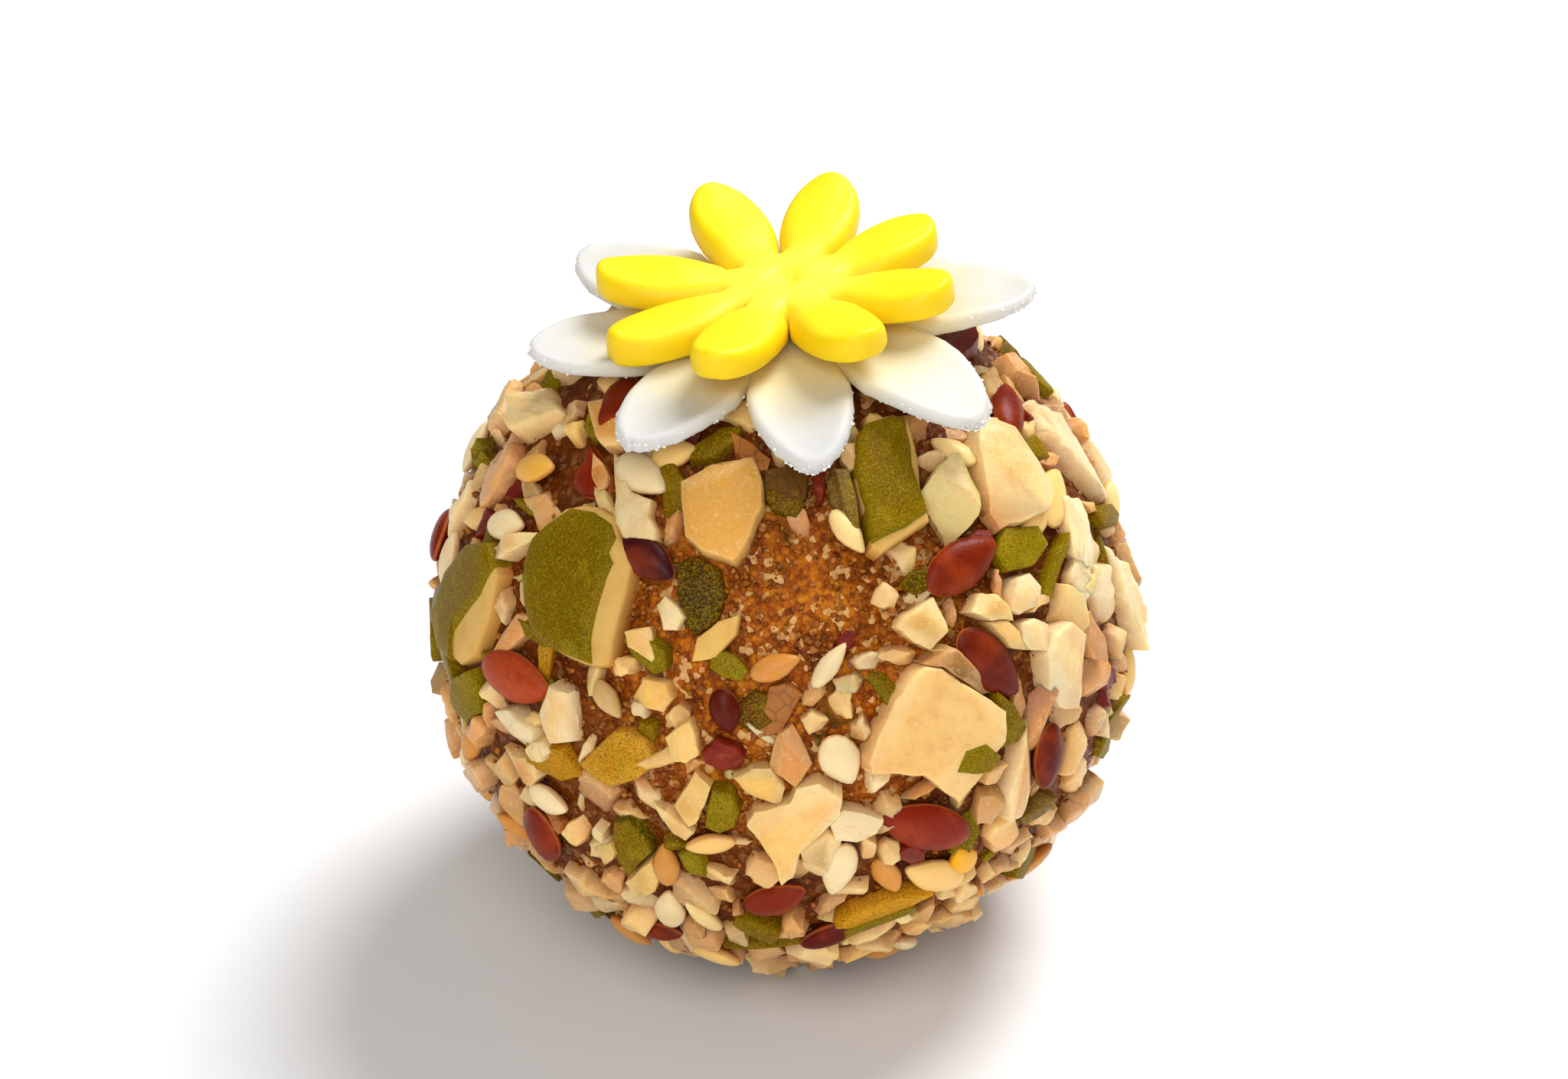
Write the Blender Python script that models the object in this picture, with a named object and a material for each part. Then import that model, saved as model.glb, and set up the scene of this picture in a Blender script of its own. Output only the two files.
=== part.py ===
"""A ladoo: a bound ball of ground nuts, rolled in chopped nuts and seeds, under two sugar paste flowers.

Metres, +Z up. The ball rests on its flat spot at z = 0, with the spot's middle at the origin, and its
front faces -Y. A place on the ball is given as degrees to the right of the front and degrees above
the ball's middle, and a turn as degrees from the ball's right towards its top.
"""

import math
import random

import bmesh
import bpy
from mathutils import Matrix, Vector, noise

MM = 0.001
GAP = 0.3 * MM

# Ball
CORE_RADIUS = 20.1 * MM
FLAT_SPOT_RADIUS = 5.6 * MM
CORE_LUMP = 0.22 * MM
CORE_LUMP_SPACING = 7.0 * MM
SEAT_HEIGHT = 18.9 * MM  # of the middle of the pressed top, above the ball's centre
SEAT_TILT = 5.0  # degrees; the right side of the pressed top is the higher one
CORE_DETAIL = 3
CENTRE_HEIGHT = math.sqrt(CORE_RADIUS**2 - FLAT_SPOT_RADIUS**2)
SEAT = (Matrix.Translation((0.0, 0.0, CENTRE_HEIGHT + SEAT_HEIGHT))
        @ Matrix.Rotation(math.radians(-SEAT_TILT), 4, "Y"))  # the flowers' frame, z out of the pressed top

# Coating
COATING_SEED = 7
LOOSE_PIECES = 148
LOOSE_SITES = 212  # even sites over the whole coating, from which the pieces take those that are free
SITE_JITTER = 2.5  # degrees
GOLDEN_ANGLE = 180.0 * (3.0 - math.sqrt(5.0))
COATING_TOP = 60.0  # degrees above the middle: the flower's seat starts there
COATING_BOTTOM = -66.0
CLOSENESS = 0.8  # of the distance at which two pieces would just touch
CUT_CLEARANCE = 0.85  # of a large piece's reach
SMALL_BIAS = 1.3  # above 1, more of the loose pieces are short ones
CHIP_TOP_SCALE = 0.72
SEED_FOOT_SCALE = 0.8
SEED_TOP_SCALE = 0.62
BARE_PATCHES = [(-3, 33, 6.0), (-16, 34, 3.6), (13, 37, 3.6)]  # right, above, radius in mm

# Each kind's height over the ball and depth in it in mm, its sides, and how far it narrows to a tip
KINDS = {
    "flax": {"height": 1.05, "depth": 0.7, "sides": 7, "tip": 0.42, "rough": 0.0, "waist": 0.4},
    "sesame": {"height": 1.0, "depth": 0.6, "sides": 6, "tip": 0.38, "rough": 0.0, "waist": 0.4},
    "nut": {"height": 1.15, "depth": 0.8, "sides": 5, "tip": 0.0, "rough": 0.2, "waist": None},
    "green": {"height": 0.8, "depth": 0.8, "sides": 6, "tip": 0.15, "rough": 0.12, "waist": None},
    "skin": {"height": 0.55, "depth": 0.7, "sides": 5, "tip": 0.0, "rough": 0.25, "waist": None},
}
# Share of the loose pieces, and shortest and longest length in mm
LOOSE_MIX = {
    "nut": (0.54, 2.6, 5.2),
    "sesame": (0.16, 3.0, 3.8),
    "flax": (0.1, 4.4, 5.8),
    "green": (0.15, 2.8, 5.6),
    "skin": (0.05, 2.4, 3.4),
}
LOOSE_WIDTH = {"nut": (0.5, 0.85), "sesame": (0.5, 0.62), "flax": (0.5, 0.6), "green": (0.4, 0.7),
               "skin": (0.4, 0.7)}

# Pieces that can be told apart: right, above, turn in degrees, length and width in mm
PLACED = {
    "flax": [
        (-50, 47, 131, 3.6, 2.7), (-58, 58, 124, 4.4, 2.2), (-27, 38, -19, 4.0, 2.2),
        (36, 35, 11, 5.3, 2.8), (76, 50, 16, 4.8, 2.2), (36, 19, -56, 5.7, 2.8),
        (-48, 12, 4, 5.3, 3.0), (-44, -17, -96, 4.6, 2.8), (-1, -19, 39, 4.3, 2.4),
        (23, -6, 154, 6.0, 3.1), (47, -2, -99, 4.2, 2.3), (-9, 17, -75, 2.7, 1.8),
        (9, -31, 34, 3.9, 1.6), (-25, -35, 14, 3.6, 1.4),
    ],
    "sesame": [
        (-63, 32, 27, 3.3, 1.9), (-78, 18, 100, 3.4, 2.2), (-65, 42, 30, 3.6, 1.9),
        (-36, 50, -12, 4.0, 2.3), (-30, 55, 25, 2.9, 1.9), (14, 44, -63, 3.0, 1.5),
        (66, 36, 20, 4.4, 2.8), (-29, 15, -37, 2.7, 1.4), (-40, -7, 2, 3.1, 2.0),
        (-20, -25, 83, 3.7, 1.9), (-14, -25, 115, 3.9, 1.2), (-19, -13, 90, 3.2, 1.6),
        (9, -12, -101, 4.0, 2.1), (9, 9, -67, 3.5, 2.4), (8, 24, 50, 3.1, 1.2),
        (-1, 24, 21, 3.0, 1.5), (26, -18, 149, 4.6, 2.3), (31, -16, 114, 2.7, 1.9),
    ],
    "green": [
        (-26, 6, 51, 4.6, 3.4), (-9, 0, 81, 2.9, 2.4), (-25, -10, 95, 3.8, 2.3),
        (17, -24, 21, 6.4, 2.5), (50, 33, -21, 4.3, 2.6), (56, 27, 32, 5.8, 0.9),
        (38, 8, 114, 3.6, 2.1), (-61, 2, 42, 4.6, 2.6), (-11, 28, 50, 3.7, 1.6),
        (46, -12, 9, 3.2, 1.5), (-4, -28, -30, 3.5, 1.8), (71, -14, 138, 2.6, 1.6),
        (14, 50, 93, 2.9, 1.2),
    ],
    "nut": [
        (-80, 47, 36, 5.0, 3.4), (-77, 36, 110, 4.6, 2.3), (-84, 25, 105, 4.8, 2.2),
        (86, 34, 112, 6.6, 3.0), (80, 14, 104, 6.0, 2.8), (70, 27, 100, 4.4, 3.2),
        (70, 15, 108, 3.8, 2.6), (52, 12, 80, 5.2, 2.9), (60, 6, 75, 4.8, 2.9),
        (-32, 43, 120, 3.4, 2.5), (80, 54, 15, 3.0, 2.2), (88, 43, 150, 3.0, 2.0),
        (46, 27, 42, 2.7, 2.1), (38, 27, 153, 3.0, 1.8), (40, 22, 123, 3.2, 1.5),
        (46, 20, 153, 2.8, 2.1), (25, 28, 18, 3.1, 2.6), (31, 20, 141, 4.2, 1.5),
        (40, -2, 72, 5.8, 2.0), (58, -12, 111, 5.4, 2.4), (-37, 10, 108, 3.6, 2.1),
        (-46, 5, 171, 3.3, 1.7), (-51, 18, 66, 3.6, 1.8), (-60, -14, 60, 4.0, 2.6),
        (-52, -15, 75, 4.6, 2.4), (-45, -3, -30, 3.3, 1.9), (-57, -3, 24, 3.2, 2.2),
        (-35, -12, 63, 3.2, 2.1), (-38, -27, 150, 4.2, 2.0), (-28, -31, 20, 3.5, 1.7),
        (1, 10, 54, 3.2, 2.6), (-3, 5, 126, 3.2, 2.1), (-14, 2, 63, 3.1, 1.9),
        (-17, -4, 141, 3.1, 1.4), (11, -3, 165, 3.4, 2.1), (6, -8, 63, 3.2, 2.5),
        (22, -29, 160, 3.5, 1.6), (38, -13, 117, 3.7, 2.9), (35, -5, 63, 2.8, 2.2),
        (50, -15, 144, 3.3, 2.2), (17, -34, 20, 3.8, 1.8), (2, -26, 87, 2.9, 1.8),
        (-17, -30, 81, 3.3, 1.8), (-10, -15, 123, 3.3, 2.1), (-4, -12, 114, 2.7, 2.2),
        (-54, 53, 100, 3.3, 2.0), (-56, 31, 40, 2.9, 1.4), (68, -8, 150, 3.0, 2.0),
        (-23, -18, 57, 3.1, 1.8), (-15, 11, 105, 2.8, 2.2),
    ],
    "skin": [
        (2, 52, 150, 3.1, 2.6), (-9, 57, 144, 3.3, 1.4), (-9, 10, 162, 3.0, 2.2),
        (82, 46, -7, 2.8, 1.4), (66, 3, 130, 2.9, 1.6),
    ],
}

# The largest pieces, with their outlines in mm to the right and towards the top, round their middle
CUT = {
    "tan_nut": {
        "place": (-13, 48), "height": 1.3,
        "outline": [(-2.5, 1.2), (-1.1, 2.3), (1.3, 3.0), (2.2, 0.3), (1.6, -2.0), (0.9, -3.0),
                    (-0.8, -2.5), (-1.9, -1.9)],
    },
    "cream_cube": {
        "place": (40, 45), "height": 1.7,
        "outline": [(-1.7, 0.8), (0.0, 1.8), (1.3, 2.1), (1.6, -0.5), (0.7, -1.7), (-1.4, -2.4)],
    },
    "cream_block": {
        "place": (56, 44), "height": 1.6,
        "outline": [(0.8, 3.3), (2.4, 1.6), (2.2, -1.6), (0.4, -3.0), (-2.8, -2.2), (-2.4, 0.0), (-1.4, 2.4)],
    },
    "cream_flake": {
        "place": (25, 11), "height": 1.3,
        "outline": [(-1.2, 3.8), (0.4, 3.7), (1.6, 2.6), (4.1, 0.2), (3.7, -1.6), (0.8, -4.3), (-1.3, -2.2),
                    (-4.4, -1.2), (-4.0, 0.5), (-2.6, 2.5)],
    },
    "cream_star": {
        "place": (2, -2), "height": 1.2,
        "outline": [(-2.7, 0.1), (-2.2, 1.0), (-0.3, 1.4), (0.2, 2.5), (1.4, 2.8), (2.6, 1.8), (0.9, -0.9),
                    (0.2, -3.2), (-0.8, -4.0), (-1.4, -1.8)],
    },
    "pumpkin_front": {
        "place": (-40, 30), "height": 1.5,
        "outline": [(-0.8, 4.5), (-2.6, 3.5), (-3.6, 1.4), (-3.1, -1.9), (-1.4, -3.7), (1.0, -3.9),
                    (3.5, -3.5), (3.6, -1.4), (3.2, 1.8), (1.4, 4.0)],
    },
    "pumpkin_left": {
        "place": (-65, 17), "height": 1.4,
        "outline": [(0.8, 4.3), (-1.4, 3.0), (-3.0, 0.4), (-3.4, -2.6), (-1.6, -3.8), (1.2, -3.4),
                    (2.6, -2.0), (3.0, 0.6), (2.6, 3.2)],
    },
    "pumpkin_cut": {
        "place": (26, 49), "height": 1.4,
        "outline": [(0.6, 3.4), (2.2, 3.0), (1.9, 0.6), (1.5, -2.5), (-1.2, -3.4), (-2.3, -3.3), (-2.0, -0.2),
                    (-0.8, 2.4)],
    },
}
CUT_DEPTH = 1.1 * MM
CUT_TOP_SCALE = 0.93

# White flower, from the pressed top up. Each petal's angle, length, height of its tip and half width in mm
WHITE_PETALS = [(7, 14.7, 0.1, 3.75), (51, 15.0, -3.4, 3.35), (96, 15.0, -3.4, 3.35),
                (141, 15.0, 0.65, 3.45), (189, 14.4, 0.65, 3.65), (236.5, 15.0, -0.25, 3.15),
                (276.6, 15.1, -1.1, 2.95), (317, 15.0, -1.75, 3.25)]
WHITE_JOINED = 7.6 * MM  # the petals are one sheet up to this radius
WHITE_THICKNESS = 1.15 * MM
WHITE_THINNING = 0.3  # share of the thickness that is lost towards the tip
WHITE_CUP = 0.9 * MM
WHITE_WIDTHS = [(0.0, 0.9), (0.22, 1.0), (0.48, 0.98), (0.74, 0.76), (0.92, 0.42), (1.0, 0.0)]

# Yellow flower, on the white one. Each petal's angle, length, height of its tip and half width in mm
YELLOW_PETALS = [(-20, 10.0, 0.95, 2.2), (28, 9.7, 1.05, 2.2), (73, 10.4, 1.6, 2.2),
                 (115, 10.5, 1.75, 2.2), (168, 11.0, 0.85, 2.2), (207, 11.1, -0.1, 2.2),
                 (248, 10.9, 1.05, 2.2), (296, 10.4, 1.15, 2.2)]
YELLOW_MIDDLE = (0.45 * MM, 0.1 * MM)
YELLOW_JOINED = 3.8 * MM
YELLOW_THICKNESS = 1.9 * MM
YELLOW_WIDTHS = [(0.0, 0.85), (0.25, 0.97), (0.55, 1.0), (0.8, 0.86), (0.94, 0.52), (1.0, 0.0)]
YELLOW_PILLOW = 0.25  # share of the thickness that is lost towards a petal's sides
GROOVE_DEPTH = 0.6 * MM
DIMPLE_DEPTH = 0.8 * MM
DIMPLE_RADIUS = 0.8 * MM

PETALS = 8
JOINED_ROWS = [0.0, 0.2, 0.5, 1.0]
ACROSS = 4
SECTOR_SHARE = 0.97  # of its sector that a petal may fill where it is free
MERGE_DISTANCE = 0.02 * MM


def clear_scene():
    for obj in list(bpy.data.objects):
        bpy.data.objects.remove(obj)


def material(name, colour, roughness):
    made = bpy.data.materials.new(name)
    made.use_nodes = True
    shader = made.node_tree.nodes["Principled BSDF"]
    shader.inputs["Base Color"].default_value = (*colour, 1.0)
    shader.inputs["Roughness"].default_value = roughness
    shader.inputs["Metallic"].default_value = 0.0
    return made


def object_from(bm, name, made):
    bmesh.ops.recalc_face_normals(bm, faces=bm.faces)
    mesh = bpy.data.meshes.new(name)
    bm.to_mesh(mesh)
    bm.free()
    if made:
        mesh.materials.append(made)
    obj = bpy.data.objects.new(name, mesh)
    bpy.context.scene.collection.objects.link(obj)
    return obj


def place_on_ball(right, above, turn=0.0):
    """The frame of a piece that lies on the ball: x along it, y across it and z out of the ball."""
    right, above, turn = (math.radians(angle) for angle in (right, above, turn))
    out = Vector((math.sin(right) * math.cos(above), -math.cos(right) * math.cos(above), math.sin(above)))
    east = Vector((math.cos(right), math.sin(right), 0.0))
    along = east * math.cos(turn) + out.cross(east) * math.sin(turn)
    frame = Matrix((along, out.cross(along), out)).transposed().to_4x4()
    frame.translation = Vector((0.0, 0.0, CENTRE_HEIGHT)) + out * CORE_RADIUS
    return frame


def ball_core():
    """A lumpy ball whose top is pressed flat as the flower's seat."""
    bm = bmesh.new()
    bmesh.ops.create_icosphere(bm, subdivisions=CORE_DETAIL, radius=CORE_RADIUS)
    for vert in bm.verts:
        lump = noise.noise(vert.co / CORE_LUMP_SPACING)
        vert.co += vert.co.normalized() * lump * CORE_LUMP
    bmesh.ops.translate(bm, vec=(0.0, 0.0, CENTRE_HEIGHT), verts=bm.verts)
    for vert in bm.verts:
        point = SEAT.inverted() @ vert.co
        point.z = min(point.z, 0.0)
        vert.co = SEAT @ point
    return object_from(bm, "ladoo_ball", material("coated_ladoo", (0.36, 0.2, 0.08), 0.6))


def keep_hull(bm):
    """Leaves the convex hull of the points in bm, as one closed piece."""
    hull = bmesh.ops.convex_hull(bm, input=bm.verts)
    leftover = hull["geom_interior"] + hull["geom_unused"]
    inside = {item for item in leftover if isinstance(item, bmesh.types.BMVert)}
    bmesh.ops.delete(bm, geom=list(inside), context="VERTS")


def rounded_piece(kind, place, length, width, rng):
    """A chip as the hull of a deep ring and a top one, with a widest one between them on a seed."""
    size = KINDS[kind]
    bm = bmesh.new()
    rings = [(-size["depth"], 1.0), (size["height"], CHIP_TOP_SCALE)]
    if size["waist"]:
        rings = [(-size["depth"], SEED_FOOT_SCALE), (size["waist"] * size["height"], 1.0),
                 (size["height"], SEED_TOP_SCALE)]
    step = 2.0 * math.pi / size["sides"]
    spread = [(step * side + rng.uniform(-1, 1) * size["rough"] * step, rng.uniform(1 - size["rough"], 1.0))
              for side in range(size["sides"])]
    for height, scale in rings:
        for angle, reach in spread:
            x = math.cos(angle) * reach * scale
            y = math.sin(angle) * reach * scale * (1.0 - size["tip"] * max(math.cos(angle), 0.0))
            bm.verts.new((x * length / 2 * MM, y * width / 2 * MM, height * MM))
    keep_hull(bm)
    bmesh.ops.transform(bm, matrix=place, verts=bm.verts)
    return object_from(bm, kind, None)


def cut_piece(name, cut):
    """A large piece with its own outline, drawn in a little towards its top."""
    bm = bmesh.new()
    bottom = bm.faces.new([bm.verts.new((x * MM, y * MM, -CUT_DEPTH)) for x, y in cut["outline"]])
    raised = bmesh.ops.extrude_face_region(bm, geom=[bottom], use_keep_orig=True)["geom"]
    top = [item for item in raised if isinstance(item, bmesh.types.BMVert)]
    bmesh.ops.scale(bm, vec=(CUT_TOP_SCALE, CUT_TOP_SCALE, 1.0), verts=top)
    bmesh.ops.translate(bm, vec=(0.0, 0.0, CUT_DEPTH + cut["height"] * MM), verts=top)
    bmesh.ops.triangulate(bm, faces=bm.faces)
    bmesh.ops.transform(bm, matrix=place_on_ball(*cut["place"]), verts=bm.verts)
    return object_from(bm, name, None)


def outline_reach(outline):
    return max(math.hypot(x, y) for x, y in outline)


def taken_places():
    """Middle directions and radii in mm of everything that loose pieces keep clear of."""
    taken = [((right, above), radius) for right, above, radius in BARE_PATCHES]
    taken += [(cut["place"], CUT_CLEARANCE * outline_reach(cut["outline"])) for cut in CUT.values()]
    taken += [((row[0], row[1]), (row[3] + row[4]) / 4) for rows in PLACED.values() for row in rows]
    return [(place_on_ball(*place).col[2].to_3d(), radius) for place, radius in taken]


def loose_sizes(rng):
    """Kind, length and width of the loose pieces, the largest first."""
    sizes = []
    for kind, (share, shortest, longest) in LOOSE_MIX.items():
        for _ in range(round(share * LOOSE_PIECES)):
            length = shortest + (longest - shortest) * rng.random() ** SMALL_BIAS
            sizes.append((kind, length, length * rng.uniform(*LOOSE_WIDTH[kind])))
    return sorted(sizes, key=lambda size: -size[1])


def even_sites(rng):
    """Sites along a spiral from the bottom of the coating to its top, in a mixed order."""
    low, high = (math.sin(math.radians(angle)) for angle in (COATING_BOTTOM, COATING_TOP))
    sites = []
    for step in range(LOOSE_SITES):
        right = (step * GOLDEN_ANGLE) % 360.0 - 180.0 + rng.uniform(-SITE_JITTER, SITE_JITTER)
        above = math.degrees(math.asin(low + (high - low) * (step + 0.5) / LOOSE_SITES))
        sites.append((right, above + rng.uniform(-SITE_JITTER, SITE_JITTER)))
    rng.shuffle(sites)
    return sites


def is_clear(out, radius, taken):
    """Whether a piece of this radius in mm, in this direction, stays clear of everything in taken."""
    for other, reach in taken:
        if out.angle(other) * CORE_RADIUS / MM < CLOSENESS * (radius + reach):
            return False
    return True


def loose_pieces(rng):
    """Places for the loose pieces, at the first site that is clear of what is already there."""
    taken = taken_places()
    sites = even_sites(rng)
    found = []
    for kind, length, width in loose_sizes(rng):
        radius = (length + width) / 4
        for site in sites:
            out = place_on_ball(*site).col[2].to_3d()
            if is_clear(out, radius, taken):
                taken.append((out, radius))
                found.append((kind, (*site, rng.uniform(-180, 180)), length, width))
                sites.remove(site)
                break
    return found


def coating():
    """Every piece of the coating, as objects in one collection."""
    pieces = bpy.data.collections.new("coating")
    bpy.context.scene.collection.children.link(pieces)
    rng = random.Random(COATING_SEED)
    made = [cut_piece(name, cut) for name, cut in CUT.items()]
    for kind, (right, above, turn), length, width in loose_pieces(rng):
        made.append(rounded_piece(kind, place_on_ball(right, above, turn), length, width, rng))
    for kind, rows in PLACED.items():
        for right, above, turn, length, width in rows:
            made.append(rounded_piece(kind, place_on_ball(right, above, turn), length, width, rng))
    for obj in made:
        bpy.context.scene.collection.objects.unlink(obj)
        pieces.objects.link(obj)
    return pieces


def cutter_block(name, place, side):
    """A block above the place's plane, or below it where side is -1, that takes away what is in it."""
    bm = bmesh.new()
    block = 4 * CORE_RADIUS
    bmesh.ops.create_cube(bm, size=block)
    bmesh.ops.translate(bm, vec=(0.0, 0.0, side * block / 2), verts=bm.verts)
    bmesh.ops.transform(bm, matrix=place, verts=bm.verts)
    return object_from(bm, name, None)


def apply_boolean(obj, operation, **target):
    modifier = obj.modifiers.new(operation.lower(), "BOOLEAN")
    modifier.operation = operation
    modifier.solver = "EXACT"
    for key, value in target.items():
        setattr(modifier, key, value)
    bpy.context.view_layer.update()
    joined = bpy.data.meshes.new_from_object(obj.evaluated_get(bpy.context.evaluated_depsgraph_get()))
    obj.modifiers.clear()
    obj.data = joined


def coated_ball():
    ball = ball_core()
    finish = ball.data.materials[0]
    pieces = coating()
    apply_boolean(ball, "UNION", operand_type="COLLECTION", collection=pieces)
    for obj in list(pieces.objects):
        bpy.data.objects.remove(obj)
    bpy.data.collections.remove(pieces)
    seat = SEAT @ Matrix.Translation((0.0, 0.0, MERGE_DISTANCE))
    for cutter in (cutter_block("floor_cutter", Matrix(), -1), cutter_block("seat_cutter", seat, 1)):
        apply_boolean(ball, "DIFFERENCE", object=cutter)
        bpy.data.objects.remove(cutter)
    ball.data.materials.clear()
    ball.data.materials.append(finish)
    return ball


def petal_rows(joined, length, widths):
    """Radius and half width of each row of a petal's points. The joined rows have no width."""
    rows = [(joined * share, None) for share in JOINED_ROWS]
    rows += [(joined + (length - joined) * share, width) for share, width in widths[1:]]
    return rows


def petal_sheet(bm, layers, index, angles, rows, half_width):
    """One petal as a grid of points, which shares its sector's edges with its neighbours near the middle."""
    before, middle, after = angles
    grid = bmesh.ops.create_grid(bm, x_segments=len(rows) - 1, y_segments=ACROSS, size=1.0)["verts"]
    for vert in grid:
        row = round((vert.co.x + 1) / 2 * (len(rows) - 1))
        across = vert.co.y
        radius, width = rows[row]
        side = math.radians((after - middle if across > 0 else middle - before) / 2)
        if width is not None:
            side = min(side * SECTOR_SHARE, math.asin(min(width * half_width / radius, 1.0)))
        angle = math.radians(middle) + across * side
        vert.co = (radius * math.cos(angle), radius * math.sin(angle), 0.0)
        vert[layers["across"]] = across
        vert[layers["radius"]] = radius
        vert[layers["petal"]] = index


def flower(name, made, petals, sheet, middle, base, thickness_at):
    """A flower of petal sheets on the pressed top: base gives a point's underside and thickness_at its
    thickness there, and sheet is the joined radius and the widths along a petal."""
    joined, widths = sheet
    bm = bmesh.new()
    layers = {key: bm.verts.layers.float.new(key) for key in ("across", "radius", "petal")}
    for index, (angle, length, _, half_width) in enumerate(petals):
        before = petals[index - 1][0] - (360 if index == 0 else 0)
        after = petals[(index + 1) % PETALS][0] + (360 if index == PETALS - 1 else 0)
        rows = petal_rows(joined, length * MM, widths)
        petal_sheet(bm, layers, index, (before, angle, after), rows, half_width * MM)
    bmesh.ops.remove_doubles(bm, verts=bm.verts, dist=MERGE_DISTANCE)
    bottom = list(bm.verts)
    raised = bmesh.ops.extrude_face_region(bm, geom=list(bm.faces), use_keep_orig=True)["geom"]
    top = [item for item in raised if isinstance(item, bmesh.types.BMVert)]
    for verts, is_top in ((bottom, False), (top, True)):
        for vert in verts:
            across, radius, index = (vert[layers[key]] for key in ("across", "radius", "petal"))
            length, tip = petals[round(index)][1] * MM, petals[round(index)][2] * MM
            out = max(radius - joined, 0.0) / (length - joined)
            vert.co.z = base(across, out, tip)
            if is_top:
                vert.co.z += thickness_at(radius, across)
    bmesh.ops.translate(bm, vec=(*middle, 0.0), verts=bm.verts)
    bmesh.ops.transform(bm, matrix=SEAT, verts=bm.verts)
    bmesh.ops.triangulate(bm, faces=bm.faces)
    obj = object_from(bm, name, made)
    obj.data.shade_smooth()
    return obj


def white_flower():
    def base(across, out, tip):
        return GAP + tip * out**2 + WHITE_CUP * across**2 * out * (1.0 - out)

    def thickness_at(radius, across):
        return WHITE_THICKNESS * (1.0 - WHITE_THINNING * radius / (2 * WHITE_JOINED))

    sheet = (WHITE_JOINED, WHITE_WIDTHS)
    white = material("white_sugar_paste", (0.91, 0.9, 0.87), 0.45)
    return flower("white_flower", white, WHITE_PETALS, sheet, (0.0, 0.0), base, thickness_at)


def yellow_flower():
    def base(across, out, tip):
        return GAP + WHITE_THICKNESS + GAP + tip * out

    def thickness_at(radius, across):
        if radius < DIMPLE_RADIUS:
            return YELLOW_THICKNESS - DIMPLE_DEPTH
        pillow = 1.0 - YELLOW_PILLOW * across**2 * min(radius / YELLOW_JOINED, 1.0)
        joined = radius < YELLOW_JOINED + MERGE_DISTANCE
        groove = GROOVE_DEPTH * abs(across) ** 3 * (radius / YELLOW_JOINED) ** 2 if joined else 0.0
        return YELLOW_THICKNESS * pillow - groove

    sheet = (YELLOW_JOINED, YELLOW_WIDTHS)
    yellow = material("yellow_sugar_paste", (0.98, 0.8, 0.02), 0.45)
    return flower("yellow_flower", yellow, YELLOW_PETALS, sheet, YELLOW_MIDDLE, base, thickness_at)


def main():
    clear_scene()
    coated_ball()
    white_flower()
    yellow_flower()


main()
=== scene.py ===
import math
import random

import bmesh
import bpy
import numpy as np
from mathutils import Matrix, Vector, noise


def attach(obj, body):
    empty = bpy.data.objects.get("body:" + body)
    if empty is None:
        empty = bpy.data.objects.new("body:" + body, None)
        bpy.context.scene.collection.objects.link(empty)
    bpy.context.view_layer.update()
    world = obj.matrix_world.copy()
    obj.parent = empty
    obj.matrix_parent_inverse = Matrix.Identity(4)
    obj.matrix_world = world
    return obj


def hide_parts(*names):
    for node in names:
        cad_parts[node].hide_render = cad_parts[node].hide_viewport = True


# A ladoo under two sugar paste flowers. Shapes are worked out in mm from the middle of the flat spot
# that the ball rests on, +Z up and the front towards -Y, and turned into metres when a piece is finished.
# A place on the ball is degrees right of the front and degrees above the ball's middle.

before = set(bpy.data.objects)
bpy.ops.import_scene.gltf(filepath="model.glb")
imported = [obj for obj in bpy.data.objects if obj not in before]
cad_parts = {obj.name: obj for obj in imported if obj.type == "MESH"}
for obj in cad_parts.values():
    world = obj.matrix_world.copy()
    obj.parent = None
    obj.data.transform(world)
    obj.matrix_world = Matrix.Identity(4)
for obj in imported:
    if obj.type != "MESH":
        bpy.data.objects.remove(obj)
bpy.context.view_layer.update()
print("frame loaded")
noise.seed_set(1)  # without it noise_vector differs from run to run

mm = 0.001

ball = {
    "radius": 20.1,
    "flatSpot": 5.6,
    "seat": 18.9,  # the middle of the pressed top, above the ball's middle
    "seatTilt": 5.0,  # its right side is the higher one
}
middle = math.sqrt(ball["radius"] ** 2 - ball["flatSpot"] ** 2)
seatPlace = (Matrix.Translation((0, 0, middle + ball["seat"]))
             @ Matrix.Rotation(math.radians(-ball["seatTilt"]), 4, "Y"))  # z out of the pressed top
fromSeat = seatPlace.inverted()

photo = {
    "width": 2048,
    "height": 1409,
    "lens": 100.0,
    "sensor": 36.0,
    "elevation": 31.0,
    "distance": 257.8,  # from the ball's middle, in mm
    "ballPixel": (1021.5, 803.0),
    "outlineRadius": 20.95,  # of the ball on which the outlines were read
}


def photoRay(x, y):
    angle = math.radians(photo["elevation"])
    pixels = photo["lens"] / photo["sensor"] * photo["width"]
    forward = Vector((0.0, math.cos(angle), -math.sin(angle)))
    up = Vector((0.0, math.sin(angle), math.cos(angle)))
    ray = forward + Vector((1, 0, 0)) * (x - photo["width"] / 2) / pixels
    ray -= up * (y - photo["height"] / 2) / pixels
    return ray.normalized()


cameraPlace = -photoRay(*photo["ballPixel"]) * photo["distance"]  # from the ball's middle


def onBall(x, y, radius):
    ray = photoRay(x, y)
    nearest = -cameraPlace.dot(ray)
    gap = cameraPlace.length_squared - nearest ** 2
    return cameraPlace + ray * (nearest - math.sqrt(max(radius ** 2 - gap, 0.0)))


def directionOf(right, above):
    right, above = math.radians(right), math.radians(above)
    return Vector((math.sin(right) * math.cos(above), -math.cos(right) * math.cos(above), math.sin(above)))


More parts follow.
